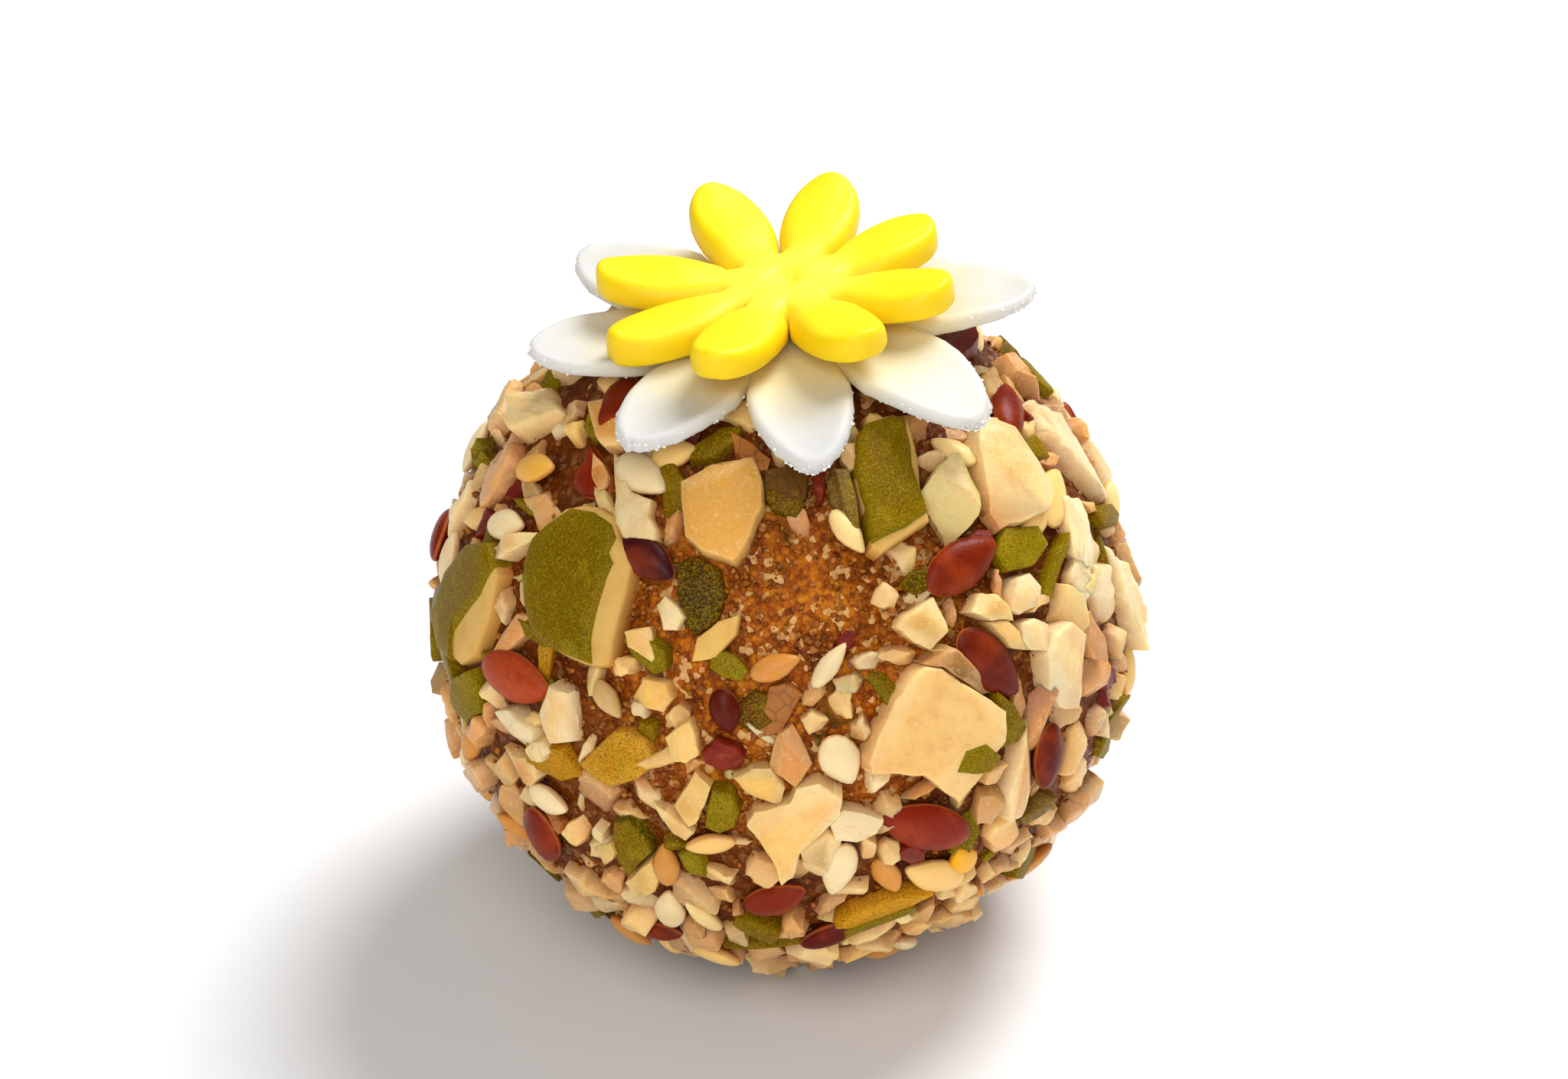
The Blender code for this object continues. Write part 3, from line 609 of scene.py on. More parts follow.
# pieces of the coating that the photo shows: right, above, turn in degrees, length and width in mm, tone
placed = {
    "flax": [
        (-58, 58, 124, 5.2, 2.4, "brightFlax"), (-27, 38, -19, 4.0, 2.2, "deadFlax"),
        (36, 35, 11, 5.3, 2.8, "brightFlax"), (76, 50, 16, 4.8, 2.2, "flax"),
        (36, 19, -56, 5.7, 2.8, "darkFlax"), (-48, 12, 4, 5.3, 3.0, "pinkFlax"),
        (-44, -17, -96, 4.6, 2.8, "flax"), (-1, -19, 39, 4.3, 2.4, "brightFlax"),
        (23, -6, 154, 6.0, 3.1, "flax"), (47, -2, -99, 4.2, 2.3, "darkFlax"),
        (-9, 17, -75, 2.7, 1.8, "darkFlax"), (9, -31, 34, 3.9, 1.6, "darkFlax"),
        (-25, -35, 14, 3.6, 1.4, "darkFlax"),
    ],
    "sesame": [
        (-63, 32, 27, 3.3, 1.9, "white"), (-78, 18, 100, 3.4, 2.2, "white"),
        (-65, 42, 30, 3.6, 1.9, "toast"), (-36, 50, -12, 4.0, 2.3, "white"),
        (-30, 55, 25, 2.9, 1.9, "cream"), (14, 44, -63, 3.0, 1.5, "pale"), (66, 36, 20, 4.4, 2.8, "cream"),
        (-29, 15, -37, 2.7, 1.4, "grey"), (-40, -7, 2, 3.1, 2.0, "white"), (-20, -25, 83, 3.7, 1.9, "white"),
        (-14, -25, 115, 3.9, 1.2, "pale"), (-19, -13, 90, 3.2, 1.6, "tan"),
        (9, -12, -101, 4.0, 2.1, "white"), (9, 9, -67, 3.5, 2.4, "white"), (8, 24, 50, 3.1, 1.2, "white"),
        (-1, 24, 21, 3.0, 1.5, "tan"), (26, -18, 149, 4.6, 2.3, "cream"), (31, -16, 114, 2.7, 1.9, "yellow"),
    ],
    "green": [
        (17, -24, 21, 6.4, 2.5, "amber"), (50, 33, -21, 4.3, 2.6, "green"), (56, 27, 32, 5.8, 0.9, "green"),
        (-61, 2, 42, 4.6, 2.6, "green"), (-11, 28, 50, 3.7, 1.6, "flesh"), (46, -12, 9, 3.2, 1.5, "bark"),
        (-4, -28, -30, 3.5, 1.8, "olive"), (71, -14, 138, 2.6, 1.6, "green"), (14, 50, 93, 2.9, 1.2, "bark"),
    ],
    "nut": [
        (-80, 47, 36, 6.2, 4.0, "pale"), (-77, 36, 110, 5.6, 2.8, "pink"), (-84, 25, 105, 5.8, 2.6, "glow"),
        (86, 36, 110, 10.6, 4.8, "glow"), (80, 13, 104, 8.4, 4.0, "glow"), (70, 27, 100, 6.0, 4.6, "glow"),
        (70, 15, 108, 5.6, 4.2, "glow"), (60, 6, 75, 6.0, 3.8, "pink"), (80, 54, 15, 3.0, 2.2, "cream"),
        (88, 43, 150, 3.0, 2.0, "cream"), (58, -12, 111, 5.4, 2.4, "cream"), (-60, -14, 60, 4.0, 2.6, "tan"),
        (-52, -15, 75, 4.6, 2.4, "tan"), (-57, -3, 24, 3.2, 2.2, "pink"), (-35, -12, 63, 3.2, 2.1, "cream"),
        (-38, -27, 150, 4.2, 2.0, "pale"), (-28, -31, 20, 3.5, 1.7, "cream"),
        (22, -29, 160, 3.5, 1.6, "pale"), (38, -13, 117, 3.7, 2.9, "cream"), (35, -5, 63, 2.8, 2.2, "tan"),
        (50, -15, 144, 3.3, 2.2, "butter"), (17, -34, 20, 3.8, 1.8, "cream"), (2, -26, 87, 2.9, 1.8, "tan"),
        (-17, -30, 81, 3.3, 1.8, "tan"), (-10, -15, 123, 3.3, 2.1, "pale"),
        (-4, -12, 114, 2.7, 2.2, "cream"), (68, -8, 150, 3.0, 2.0, "white"),
    ],
    "skin": [
        (2, 52, 150, 3.1, 2.6, "oliveBrown"), (-9, 57, 144, 3.3, 1.4, "paleSkin"),
        (82, 46, -7, 2.8, 1.4, "skin"), (66, 3, 130, 2.9, 1.6, "skin"),
    ],
}
placedSmall = {  # the smaller ones between them
    "green": [
        (-9, 24, 156, 2.2, 1.4, "green"), (-14, -11, 102, 2.2, 1.5, "green"),
        (17, -27, 21, 5.6, 1.2, "green"), (-88, 32, 20, 2.2, 0.9, "green"),
        (-58, 53, 165, 2.2, 1.3, "green"), (71, 43, 159, 2.3, 1.6, "olive"),
    ],
    "nut": [
        (-27, 21, 33, 2.4, 1.5, "cream"), (-23, 15, 141, 1.9, 1.4, "white"),
        (-17, 15, 42, 2.1, 1.4, "cream"), (13, 14, 63, 2.0, 1.7, "white"), (5, 15, 15, 1.8, 1.5, "cream"),
        (10, 18, 105, 2.4, 1.8, "cream"), (12, 21, 3, 2.4, 1.3, "grey"), (20, 24, 174, 2.4, 1.4, "cream"),
        (20, 33, 138, 2.2, 1.7, "cream"), (-40, 3, 69, 2.3, 1.7, "pale"), (-31, -14, 42, 2.4, 1.5, "cream"),
        (-31, -21, 102, 2.3, 2.0, "tan"), (34, 1, 30, 2.0, 1.8, "cream"), (39, -24, 132, 1.9, 1.5, "cream"),
        (34, -27, 117, 2.3, 1.7, "pale"), (29, -24, 111, 2.1, 1.7, "cream"),
        (-10, -20, 156, 2.4, 1.9, "cream"), (14, -7, 117, 1.9, 1.5, "pale"), (17, -10, 99, 2.1, 1.4, "pale"),
        (28, -36, 30, 2.7, 1.7, "tan"), (-63, 50, 177, 2.3, 1.6, "butter"), (19, 56, 63, 2.1, 1.4, "cream"),
        (30, 61, 69, 2.0, 1.7, "toast"), (56, 20, 100, 4.0, 3.2, "pale"), (63, 21, 80, 3.8, 3.0, "glow"),
        (76, 45, 138, 2.3, 1.6, "cream"), (74, 40, 160, 2.7, 1.7, "pink"), (-70, 59, 12, 2.9, 1.8, "cream"),
    ],
    "skin": [
        (-67, 37, -94, 1.7, 1.1, "skin"), (-70, 29, -71, 2.5, 1.1, "skin"), (21, -11, 147, 2.1, 1.4, "skin"),
    ],
}

# the pieces whose own shape shows: kind, tone, rim tone, top in mm, lean over x and over y in degrees, and
# the outline in the photo's pixels
drawn = {
    "besideFlax": ("nut", "tan", "cream", 1.0, 0, 0, [(768, 525), (795, 520), (812, 560), (812, 578),
        (790, 583), (778, 570)]),
    "shard": ("nut", "white", "pale", 0.9, 4, 0, [(801, 590), (811, 600), (824, 642), (850, 650), (848, 672),
        (855, 690), (855, 703), (838, 705), (825, 712), (812, 700), (803, 675)]),
    "greyBit": ("nut", "grey", "grey", 0.6, 0, 0, [(675, 615), (690, 625), (697, 640), (692, 665),
        (680, 660)]),
    "stick": ("nut", "cream", "pale", 1.3, 0, 0, [(648, 730), (648, 712), (665, 700), (705, 695), (690, 712),
        (660, 730)]),
    "cube": ("nut", "white", "leafy", 1.7, -6, -8, [(1205, 645), (1225, 615), (1240, 598), (1255, 600),
        (1265, 630), (1278, 650), (1275, 680), (1265, 690), (1245, 712), (1235, 690), (1215, 660)]),
    "block": ("nut", "cream", "pale", 1.5, -4, 8, [(1280, 545), (1320, 562), (1345, 600), (1362, 625),
        (1367, 645), (1360, 672), (1340, 682), (1310, 690), (1298, 670), (1290, 640), (1275, 600),
        (1268, 585), (1272, 560)]),
    "paleSquare": ("nut", "pale", "white", 1.2, 6, 0, [(1325, 755), (1345, 748), (1357, 765), (1350, 790),
        (1330, 800), (1318, 795), (1320, 770)]),
    "whiteWedge": ("nut", "flesh", "pale", 1.2, 0, 6, [(1265, 800), (1280, 775), (1300, 778), (1318, 795),
        (1320, 810), (1290, 810)]),
    "creamBar": ("nut", "cream", "flesh", 1.1, 0, 0, [(1290, 812), (1315, 810), (1330, 825), (1340, 850),
        (1320, 845), (1300, 825)]),
    "paleBit": ("nut", "pale", "white", 1.1, 0, 0, [(1333, 815), (1350, 808), (1370, 815), (1375, 835),
        (1365, 850), (1345, 848), (1335, 835)]),
    "paleTall": ("nut", "pale", "white", 1.2, 0, 4, [(1375, 825), (1395, 812), (1417, 830), (1410, 870),
        (1415, 900), (1405, 925), (1385, 925), (1370, 900), (1362, 860)]),
    "flake": ("nut", "cream", "cream", 1.4, -4, 2, [(1205, 870), (1225, 872), (1250, 890), (1290, 912),
        (1308, 928), (1305, 965), (1290, 985), (1275, 1010), (1245, 1043), (1225, 1030), (1200, 1010),
        (1150, 1005), (1130, 1005), (1128, 990), (1135, 970), (1150, 945), (1165, 915), (1190, 880)]),
    "glassShard": ("nut", "bark", "moist", 1.35, 4, 6, [(1200, 865), (1240, 843), (1260, 860), (1300, 905),
        (1285, 908), (1250, 885), (1225, 868)]),
    "longShard": ("nut", "pink", "white", 1.1, 0, 10, [(1355, 945), (1362, 965), (1350, 1000), (1345, 1030),
        (1325, 1065), (1310, 1070), (1312, 1040), (1325, 1000), (1335, 965)]),
    "clear": ("nut", "flesh", "pale", 1.1, 0, 0, [(1180, 805), (1220, 780), (1232, 805), (1238, 825),
        (1215, 848), (1195, 840), (1170, 820)]),
    "prism": ("nut", "pale", "white", 1.2, 0, 5, [(720, 893), (742, 905), (748, 940), (748, 970), (720, 968),
        (712, 950), (708, 925)]),
    "whiteBlade": ("nut", "white", "white", 1.0, 6, 0, [(645, 928), (665, 928), (695, 950), (700, 970),
        (690, 975), (665, 955)]),
    "orangeBit": ("nut", "butter", "toast", 1.0, 0, 0, [(842, 884), (870, 893), (877, 915), (865, 930),
        (845, 925), (825, 912)]),
    "heart": ("nut", "white", "pale", 0.9, 0, 0, [(858, 790), (868, 778), (882, 790), (893, 806), (882, 824),
        (865, 822)]),
    "squareBit": ("nut", "cream", "cream", 1.0, 0, 4, [(815, 825), (845, 818), (850, 835), (853, 860),
        (848, 865), (835, 855), (818, 845)]),
    "pinkBehind": ("nut", "pink", "pink", 0.7, 0, 0, [(635, 860), (650, 830), (670, 800), (685, 805),
        (680, 830), (660, 850)]),
    "tanThin": ("nut", "tan", "pale", 0.8, 0, 0, [(650, 980), (690, 995), (700, 1020), (690, 1030),
        (670, 1010)]),
    "star": ("nut", "cream", "pale", 1.3, 0, 0, [(975, 1075), (985, 1060), (1030, 1050), (1040, 1030),
        (1070, 1020), (1100, 1035), (1095, 1060), (1060, 1095), (1045, 1110), (1035, 1140), (1020, 1148),
        (1010, 1120), (1000, 1105), (985, 1085)]),
    "butterChip": ("nut", "butter", "flesh", 1.0, 0, 0, [(958, 1015), (985, 1005), (1005, 1005), (1025, 1030),
        (1020, 1050), (1000, 1045), (975, 1035)]),
    "butterSquare": ("nut", "flesh", "butter", 1.1, 0, 0, [(880, 1050), (905, 1013), (928, 1030), (920, 1050),
        (910, 1075), (900, 1078), (890, 1065)]),
    "blade": ("nut", "flesh", "pale", 0.9, 0, 0, [(850, 1055), (875, 1065), (905, 1090), (895, 1100),
        (880, 1090)]),
    "whiteBar": ("nut", "white", "white", 1.2, 0, 0, [(1082, 1075), (1100, 1058), (1130, 1062), (1155, 1070),
        (1145, 1085), (1120, 1098), (1090, 1095)]),
    "whiteRound": ("nut", "grey", "pale", 1.0, 0, 0, [(1045, 1110), (1080, 1085), (1100, 1100), (1095, 1130),
        (1080, 1150), (1050, 1140)]),
    "tanKite": ("nut", "pink", "tan", 0.8, 0, 0, [(1005, 1000), (1015, 965), (1035, 950), (1050, 975),
        (1060, 1000), (1040, 1030), (1010, 1010)]),
    "creamTall": ("nut", "cream", "butter", 1.0, 0, 0, [(868, 965), (900, 940), (908, 960), (912, 985),
        (895, 997), (875, 995)]),
    "creamLow": ("nut", "flesh", "butter", 1.0, 0, 0, [(815, 1155), (835, 1135), (850, 1125), (858, 1150),
        (855, 1165), (830, 1172)]),
    "tanNut": ("nut", "toast", "toast", 1.3, 0, 0, [(892, 632), (930, 610), (985, 600), (997, 630),
        (998, 662), (985, 690), (975, 715), (960, 735), (940, 728), (918, 722), (895, 702)]),
    "frontSeed": ("flesh", "flesh", "flesh", 0.85, 0, 0, [(765, 660), (740, 665), (715, 685), (700, 705),
        (690, 745), (686, 785), (692, 815), (710, 840), (735, 855), (765, 868), (785, 872), (800, 868),
        (803, 830), (815, 780), (825, 740), (820, 720), (808, 700), (803, 675), (785, 663)]),
    "frontSeedSkin": ("green", "olive", "green", 1.15, 0, 0, [(750, 664), (780, 670), (801, 685), (806, 703),
        (798, 722), (804, 736), (795, 754), (789, 774), (781, 802), (776, 833), (778, 868), (750, 858),
        (718, 845), (700, 828), (688, 790), (685, 757), (691, 723), (699, 703), (718, 685), (738, 671)]),
    "frontSeedFlap": ("green", "olive", "olive", 0.8, 0, 0, [(673, 806), (686, 812), (700, 826), (716, 842),
        (708, 846), (684, 832)]),
    "cutSeed": ("flesh", "flesh", "flesh", 1.0, 0, 0, [(1117, 568), (1140, 549), (1165, 543), (1184, 550),
        (1200, 600), (1203, 640), (1214, 680), (1180, 702), (1150, 724), (1138, 717), (1128, 660),
        (1116, 614)]),
    "cutSeedSkin": ("green", "olive", "green", 1.35, 0, 0, [(1118, 570), (1130, 556), (1160, 547),
        (1178, 548), (1188, 588), (1190, 610), (1196, 628), (1209, 670), (1181, 690), (1137, 712),
        (1129, 662), (1116, 614)]),
    "cutSeedShade": ("green", "bark", "bark", 0.9, 0, 8, [(1086, 612), (1105, 612), (1116, 640), (1121, 690),
        (1112, 700), (1100, 665)]),
    "flakeGreen": ("green", "green", "olive", 1.55, -4, 2, [(1240, 1005), (1250, 975), (1280, 965),
        (1300, 985), (1285, 1005), (1265, 1008)]),
    "greenWedge": ("green", "olive", "green", 0.9, 0, 0, [(1305, 905), (1325, 920), (1342, 950), (1330, 970),
        (1310, 977), (1302, 950)]),
    "amberFlake": ("green", "amber", "toast", 0.9, 0, 0, [(755, 1000), (775, 980), (800, 957), (820, 958),
        (840, 970), (850, 990), (842, 1010), (830, 1020), (815, 1025), (795, 1030), (775, 1020)]),
    "greenRound": ("green", "green", "olive", 1.0, 0, 0, [(930, 1030), (955, 1035), (967, 1060), (960, 1080),
        (940, 1088), (920, 1080), (925, 1050)]),
    "redDrop": ("flax", "flax", "brightFlax", 0.75, 0, 0, [(767, 574), (757, 596), (744, 612), (741, 630),
        (752, 643), (772, 647), (788, 637), (792, 616), (780, 594)]),
    "dropFacet": ("nut", "moist", "tan", 1.0, 0, 18, [(772, 590), (784, 602), (790, 618), (786, 632),
        (776, 640), (770, 618)]),
    "darkPatch": ("green", "deepGreen", "oliveBrown", 0.2, 0, 0, [(880, 735), (905, 725), (935, 740),
        (945, 775), (935, 810), (905, 830), (885, 810), (880, 770)]),
    "olivePatch": ("green", "oliveBrown", "olive", 0.2, 0, 0, [(955, 930), (985, 905), (1010, 915),
        (1015, 945), (985, 965), (960, 950)]),
    "besideFlaxLeaf": ("green", "deepGreen", "olive", 0.6, 0, 0, [(1180, 765), (1195, 745), (1215, 742),
        (1226, 765), (1202, 776)]),
    "underPetalLeaf": ("green", "oliveBrown", "deepGreen", 0.5, 0, 0, [(1000, 628), (1018, 622), (1040, 632),
        (1052, 655), (1040, 672), (1012, 665), (998, 645)]),
    "greenCut": ("green", "olive", "deepGreen", 0.8, 0, 0, [(800, 1075), (820, 1070), (845, 1100),
        (850, 1115), (835, 1130), (820, 1145), (805, 1125), (800, 1100)]),
    "veined": ("skin", "skin", "skin", 0.7, 0, 0, [(915, 985), (935, 968), (965, 978), (972, 990),
        (965, 1005), (945, 1010), (920, 1000)]),
}
# a second tone that some of them fade to, with its direction and share
drawnFades = {
    "tanNut": ("bark", 2.4, 0.35), "flake": ("pale", 1.2, 0.35), "block": ("white", 0.3, 0.5),
    "cube": ("leafy", 3.6, 0.5), "star": ("butter", 3.6, 0.5), "longShard": ("pale", 0.0, 0.8),
    "stick": ("white", 3.1, 0.7),
}
# slopes that the nuts' tops show, as for cutFacets
drawnFacets = {
    "cube": [(215, -0.15, 34), (352, 0.3, 40)], "block": [(192, 0.12, 32), (330, 0.5, 16), (70, 0.6, 14)],
    "flake": [(150, 0.45, 14), (300, 0.4, 12), (30, 0.6, 16)], "tanNut": [(125, 0.5, 10), (20, 0.55, 8)],
    "star": [(120, 0.1, 18), (330, 0.25, 20)], "stick": [(200, 0.2, 30), (20, 0.1, 14)],
    "longShard": [(10, 0.0, 35), (170, 0.15, 18)], "prism": [(0, 0.0, 34), (180, 0.2, 12)],
}
# what they keep free of loose pieces: right, above, reach in mm
drawnPlaces = [
    (-50, 47, 1.575), (-26, 6, 2.0), (-9, 0, 1.325), (-25, -10, 1.525), (38, 8, 1.425), (52, 12, 2.025),
    (-32, 43, 1.475), (46, 27, 1.2), (38, 27, 1.2), (40, 22, 1.175), (46, 20, 1.225), (25, 28, 1.425),
    (31, 20, 1.425), (40, -2, 1.95), (-37, 10, 1.425), (-46, 5, 1.25), (-51, 18, 1.35), (-45, -3, 1.3),
    (1, 10, 1.45), (-3, 5, 1.325), (-14, 2, 1.25), (-17, -4, 1.125), (11, -3, 1.375), (6, -8, 1.425),
    (-54, 53, 1.325), (-56, 31, 1.075), (-23, -18, 1.225), (-15, 11, 1.25), (-9, 10, 1.3),
]

# the big pieces of the solid ball: middle and outline in mm
bigPieces = {
    "tanNut": ((-13, 48), [(-2.5, 1.2), (-1.1, 2.3), (1.3, 3.0), (2.2, 0.3), (1.6, -2.0), (0.9, -3.0),
        (-0.8, -2.5), (-1.9, -1.9)]),
    "cube": ((40, 45), [(-1.7, 0.8), (0.0, 1.8), (1.3, 2.1), (1.6, -0.5), (0.7, -1.7), (-1.4, -2.4)]),
    "block": ((56, 44), [(0.8, 3.3), (2.4, 1.6), (2.2, -1.6), (0.4, -3.0), (-2.8, -2.2), (-2.4, 0.0),
        (-1.4, 2.4)]),
    "flake": ((25, 11), [(-1.2, 3.8), (0.4, 3.7), (1.6, 2.6), (4.1, 0.2), (3.7, -1.6), (0.8, -4.3),
        (-1.3, -2.2), (-4.4, -1.2), (-4.0, 0.5), (-2.6, 2.5)]),
    "star": ((2, -2), [(-2.7, 0.1), (-2.2, 1.0), (-0.3, 1.4), (0.2, 2.5), (1.4, 2.8), (2.6, 1.8), (0.9, -0.9),
        (0.2, -3.2), (-0.8, -4.0), (-1.4, -1.8)]),
    "frontSeed": ((-40, 30), [(-0.8, 4.5), (-2.6, 3.5), (-3.6, 1.4), (-3.1, -1.9), (-1.4, -3.7), (1.0, -3.9),
        (3.5, -3.5), (3.6, -1.4), (3.2, 1.8), (1.4, 4.0)]),
    "leftSeed": ((-65, 17), [(0.8, 4.3), (-1.4, 3.0), (-3.0, 0.4), (-3.4, -2.6), (-1.6, -3.8), (1.2, -3.4),
        (2.6, -2.0), (3.0, 0.6), (2.6, 3.2)]),
    "cutSeed": ((26, 49), [(0.6, 3.4), (2.2, 3.0), (1.9, 0.6), (1.5, -2.5), (-1.2, -3.4), (-2.3, -3.3),
        (-2.0, -0.2), (-0.8, 2.4)]),
}
leftSeedSkin = [
    (0.8, 4.3), (-1.4, 3.0), (-3.0, 0.4), (-3.4, -2.6), (-1.6, -3.8), (0.3, -3.6), (-0.1, -2.0), (0.9, 0.0),
    (1.8, 1.5), (2.2, 3.6),
]

loose = {
    # the loose pieces that the solid ball has all round, by the same rule
    "seed": 7, "pieces": 148, "sites": 212, "jitter": 2.5, "top": 60.0, "bottom": -66.0,
    "closeness": 0.8, "bigClearance": 0.85, "smallBias": 1.3, "bareShare": 0.9, "lean": (12, 10),
    "bare": [(-3, 33, 6.0), (-16, 34, 3.6), (13, 37, 3.6)],
    "mix": {  # share, shortest and longest, width to length
        "nut": (0.54, 2.6, 5.2, 0.5, 0.85), "sesame": (0.16, 3.0, 3.8, 0.5, 0.62),
        "flax": (0.1, 4.4, 5.8, 0.5, 0.6), "green": (0.15, 2.8, 5.6, 0.4, 0.7),
        "skin": (0.05, 2.4, 3.4, 0.4, 0.7),
    },
}
looseTones = {
    "nut": ["cream", "cream", "pale", "tan", "tan", "pink", "grey", "grey", "butter", "flesh", "moist",
            "leafy", "honey", "honey", "white"],
    "sesame": ["cream", "white", "pale", "cream", "tan"],
    "flax": ["flax", "brightFlax", "pinkFlax", "darkFlax"],
    "green": ["olive", "green", "olive", "green", "deepGreen", "amber"],
    "skin": ["skin", "skin", "paleSkin"],
}


def reachOf(length, width):
    return (length + width) / 4


def placesOf(rows):
    return [(directionOf(row[0], row[1]), reachOf(row[3], row[4])) for row in rows]


def loosePlaces():
    rng = random.Random(loose["seed"])
    sizes = []
    for kind, (share, shortest, longest, narrow, wide) in loose["mix"].items():
        for piece in range(round(share * loose["pieces"])):
            length = shortest + (longest - shortest) * rng.random() ** loose["smallBias"]
            sizes.append((kind, length, length * rng.uniform(narrow, wide)))
    sizes.sort(key=lambda size: -size[1])
    sites = []
    for right, above in evenPlaces(loose["sites"], loose["bottom"], loose["top"], lambda: 0.5):
        sites.append((right - 180.0 + rng.uniform(-loose["jitter"], loose["jitter"]),
                      above + rng.uniform(-loose["jitter"], loose["jitter"])))
    rng.shuffle(sites)
    taken = []
    for place, outline in bigPieces.values():
        reach = max(math.hypot(x, y) for x, y in outline)
        taken.append((directionOf(*place), loose["bigClearance"] * reach))
    for rows in placed.values():
        taken += placesOf(rows)
    taken += [(directionOf(right, above), reach) for right, above, reach in drawnPlaces]
    bare = [(directionOf(right, above), radius) for right, above, radius in loose["bare"]]
    found = []
    for kind, length, width in sizes:
        radius = reachOf(length, width)
        for site in sites:
            out = directionOf(*site)
            nearest = min(out.angle(other) / (radius + reach) for other, reach in taken + bare)
            if nearest * ball["radius"] >= loose["closeness"]:
                taken.append((out, radius))
                found.append((kind, *site, rng.uniform(-180, 180), length, width))
                sites.remove(site)
                break
    return found, taken + [(out, radius * loose["bareShare"]) for out, radius in bare]


chipLook = {
    # a chopped nut: corners, ragged outline, how far its top is narrowed and shifted
    "sides": (4, 5, 6), "rough": 0.3, "ragged": 0.22, "taper": (0.74, 0.98), "shift": 0.18,
    # the slopes that its top is broken off in: how many, where they start, how steep and how far apart
    "cuts": (1, 2, 2, 3), "flatCuts": 2, "start": (-0.3, 0.5), "slope": (8, 46), "flatSlope": (4, 12),
    "apart": (80, 170), "crumble": 0.25, "worn": 0.3,
    # in mm, for the usual and the small ones: worn edges, the longest edge that stays whole, unevenness
    "edge": (0.12, 0.08), "whole": (0.6, 0.9), "uneven": (0.14, 0.1),
    "flatShare": 0.25, "flatTop": (0.7, 1.0), "top": (0.75, 1.4), "sunk": -0.15,
    "shades": (0.78, 1.12), "fadeShares": (0.3, 0.9), "glowFades": ("white", "pale"),
    "fades": ("moist", "tan", "butter", "white", "pale", "toast"),
}
flaxLook = {"thick": 1.35, "tip": 0.42, "tipPower": 1.6, "rim": 0.12, "detail": (22, 12), "lift": 0.42,
            "shades": (0.85, 1.15)}
sesameLook = {"thick": 1.05, "tip": 0.5, "tipPower": 1.3, "rim": 0.2, "detail": (16, 8), "lift": 0.5,
              "shades": (0.92, 1.05)}
greenLook = {"sides": (5, 6, 7), "rough": 0.26, "ragged": 0.16, "top": (0.55, 0.85), "bend": (-0.15, 0.25),
             "steps": [(0.05, 0.06), (0.1, 0.04)], "shades": (0.8, 1.15)}
skinLook = {"sides": 6, "rough": 0.3, "ragged": 0.2, "top": (0.45, 0.65), "bend": 0.3,
            "steps": [(0.04, 0.05)], "shades": (0.8, 1.1)}


def chip(length, width, top, rng, small, flat):
    look = chipLook
    outline = shardOutline(length, width, rng.choice(look["sides"]), look["rough"], rng)
    piece = slab(outline, top, [], look["ragged"], rng.randrange(1000))
    taper, shift = rng.uniform(*look["taper"]), look["shift"]
    lean = Vector((rng.uniform(-shift, shift) * length, rng.uniform(-shift, shift) * width, 0.0))
    for vert in piece.verts:
        if vert.co.z > 0:
            vert.co = Vector((vert.co.x * taper, vert.co.y * taper, vert.co.z)) + lean
    facets = []
    direction = rng.uniform(0, 360)
    for cut in range(look["flatCuts"] if flat else rng.choice(look["cuts"])):
        start = rng.uniform(*look["start"])
        facets.append((direction, start, rng.uniform(*look["flatSlope" if flat else "slope"])))
        direction += rng.uniform(*look["apart"])
    cutFacets(piece, top, reachOf(length, width), facets)
    softenEdges(piece, look["edge"][small])
    bmesh.ops.triangulate(piece, faces=[face for face in piece.faces if len(face.verts) > 6])
    long = [edge for edge in piece.edges if edge.calc_length() > look["whole"][small]]
    bmesh.ops.subdivide_edges(piece, edges=long, cuts=1, fractal=look["crumble"], along_normal=0.0,
                              seed=rng.randrange(1000))
    offset = rng.uniform(0, 50)
    bmesh.ops.smooth_vert(piece, verts=piece.verts, factor=look["worn"], use_axis_x=True, use_axis_y=True,
                          use_axis_z=True)
    uneven(piece, look["uneven"][small], offset)
    return piece


def uneven(piece, amount, offset):  # a waxy surface that is nowhere quite flat
    for vert in piece.verts:
        vert.co += noise.noise_vector(vert.co * 0.9 + Vector((offset, 0, 0))) * amount * 1.6
        vert.co += noise.noise_vector(vert.co * 2.9 + Vector((0, offset, 0))) * amount * 0.8


def addNut(heap, place, length, width, tone, rng, top=None, small=False):
    glow = tone == "glow"
    flat = glow or rng.random() < chipLook["flatShare"]
    top = top or rng.uniform(*chipLook["flatTop" if flat else "top"])
    piece = chip(length, width, top, rng, small, flat)
    fade = (rng.choice(chipLook["glowFades" if glow else "fades"]), rng.uniform(0, 6.3),
            rng.uniform(*chipLook["fadeShares"]))
    markPiece(piece, tone, shade=rng.uniform(*chipLook["shades"]), fade=fade)
    heap.add(piece, place @ Matrix.Translation((0, 0, chipLook["sunk"])))


def addSeed(look, heap, place, length, width, tone, rng):
    # a flattened seed, narrowed to a tip towards +x, with its widest ring as a thin margin
    piece = bmesh.new()
    layers = layersOf(piece)
    around, along = look["detail"]
    bmesh.ops.create_uvsphere(piece, u_segments=around, v_segments=along, radius=1.0)
    for vert in piece.verts:
        x, y, z = vert.co
        out = math.hypot(x, y)
        vert[layers["edge"]] = out ** 6
        narrow = 1.0 - look["tip"] * max(x, 0.0) ** look["tipPower"]
        thin = 1.0 - look["rim"] * out ** 4
        vert.co = (x * length / 2, y * narrow * width / 2, z * thin * look["thick"] / 2)
    markPiece(piece, tone, shade=rng.uniform(*look["shades"]), raised=look["lift"])
    heap.add(piece, place @ Matrix.Translation((0, 0, look["lift"])))


def addFlax(*given):
    addSeed(flaxLook, *given)


